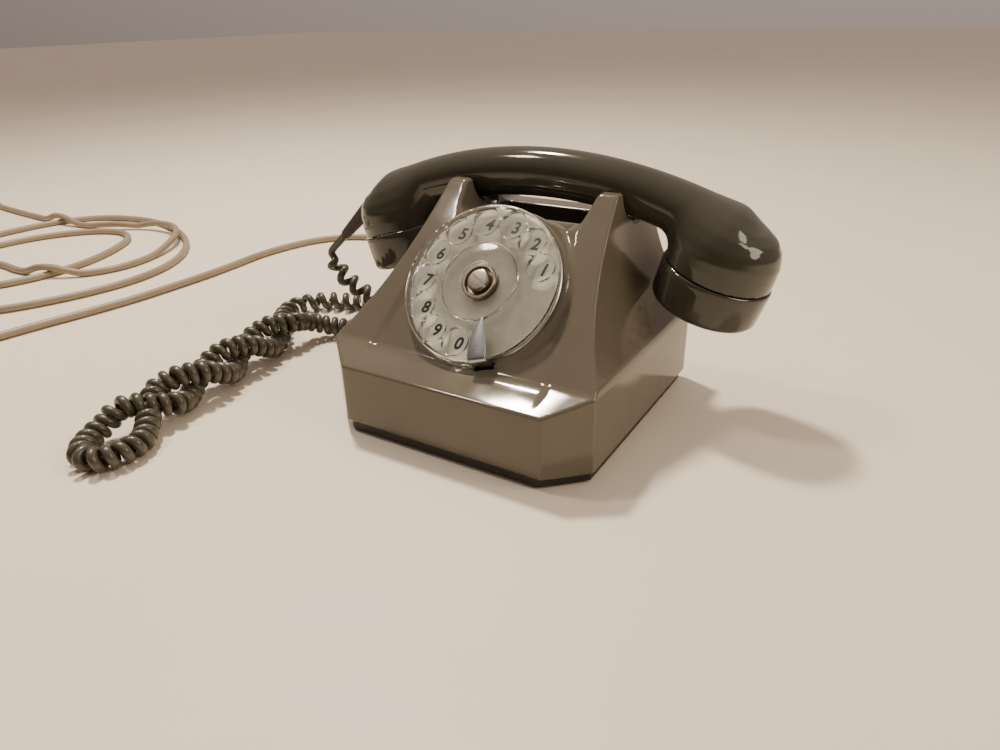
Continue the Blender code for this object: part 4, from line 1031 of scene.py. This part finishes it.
def camera():
    yaw, pitch, roll = (math.radians(a) for a in CAMERA_TURN)
    level = math.cos(pitch)
    ahead = Vector((math.sin(yaw) * level, math.cos(yaw) * level, -math.sin(pitch)))
    right = Vector((math.cos(yaw), -math.sin(yaw), 0))
    up = right.cross(ahead)
    c, s = math.cos(roll), math.sin(roll)
    right, up = c * right + s * up, c * up - s * right
    data = bpy.data.cameras.new("camera")
    data.lens, data.sensor_width = CAMERA_LENS, 36.0
    data.clip_start = 0.01
    obj = bpy.data.objects.new("camera", data)
    bpy.context.scene.collection.objects.link(obj)
    turn = Matrix((right, up, -ahead)).transposed().to_4x4()
    obj.matrix_world = Matrix.Translation(CAMERA_AT) @ turn
    bpy.context.scene.camera = obj


def area_light(name, at, aim, size, watts, colour):
    data = bpy.data.lights.new(name, "AREA")
    data.energy, data.size, data.color = watts, size, colour
    obj = bpy.data.objects.new(name, data)
    bpy.context.scene.collection.objects.link(obj)
    obj.location = at
    obj.rotation_euler = (Vector(aim) - Vector(at)).to_track_quat("-Z", "Y").to_euler()


def studio():
    floor = bpy.data.meshes.new("floor")
    floor.from_pydata([(-6, -6, 0), (6, -6, 0), (6, 6, 0), (-6, 6, 0)], [], [(0, 1, 2, 3)])
    floor.materials.append(FLOOR)
    obj = bpy.data.objects.new("floor", floor)
    bpy.context.scene.collection.objects.link(obj)
    world = bpy.data.worlds.new("studio")
    world.use_nodes = True
    nodes, links = world.node_tree.nodes, world.node_tree.links
    nodes["Background"].inputs["Color"].default_value = (0.66, 0.53, 0.46, 1)
    lean = nodes.new("ShaderNodeVectorMath")
    lean.operation = "DOT_PRODUCT"
    lean.inputs[1].default_value = (0, 0.5, 0.85)
    links.new(nodes.new("ShaderNodeTexCoord").outputs["Generated"], lean.inputs[0])
    level = ranged(nodes, links, lean.outputs["Value"], 0.05, 0.9, -0.25, 0.9)
    links.new(level, nodes["Background"].inputs["Strength"])
    bpy.context.scene.world = world
    area_light("lamp", (-0.50, 0.28, 1.12), (0, 0, 0.05), 0.12, 18.0, (1.0, 0.88, 0.72))
    area_light("second_lamp", (-0.60, -0.22, 1.05), (0, 0, 0.05), 0.12, 4.0, (1.0, 0.90, 0.76))
    area_light("side", (1.0, 0.1, 0.7), (0, 0, 0.05), 0.5, 6.0, (1.0, 0.87, 0.68))


# ---------------------------------------------------------------- the scene

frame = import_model()
slot_of = {s["node"]: s["material_slot"] for s in frame["record"]["subparts"]}
for node, obj in frame["nodes"].items():
    for place in obj.material_slots:
        place.material = SLOT_MATERIALS[slot_of[node]]

camera()
handset()
line_cord()
curly_cord()
housing()
dial()
studio()
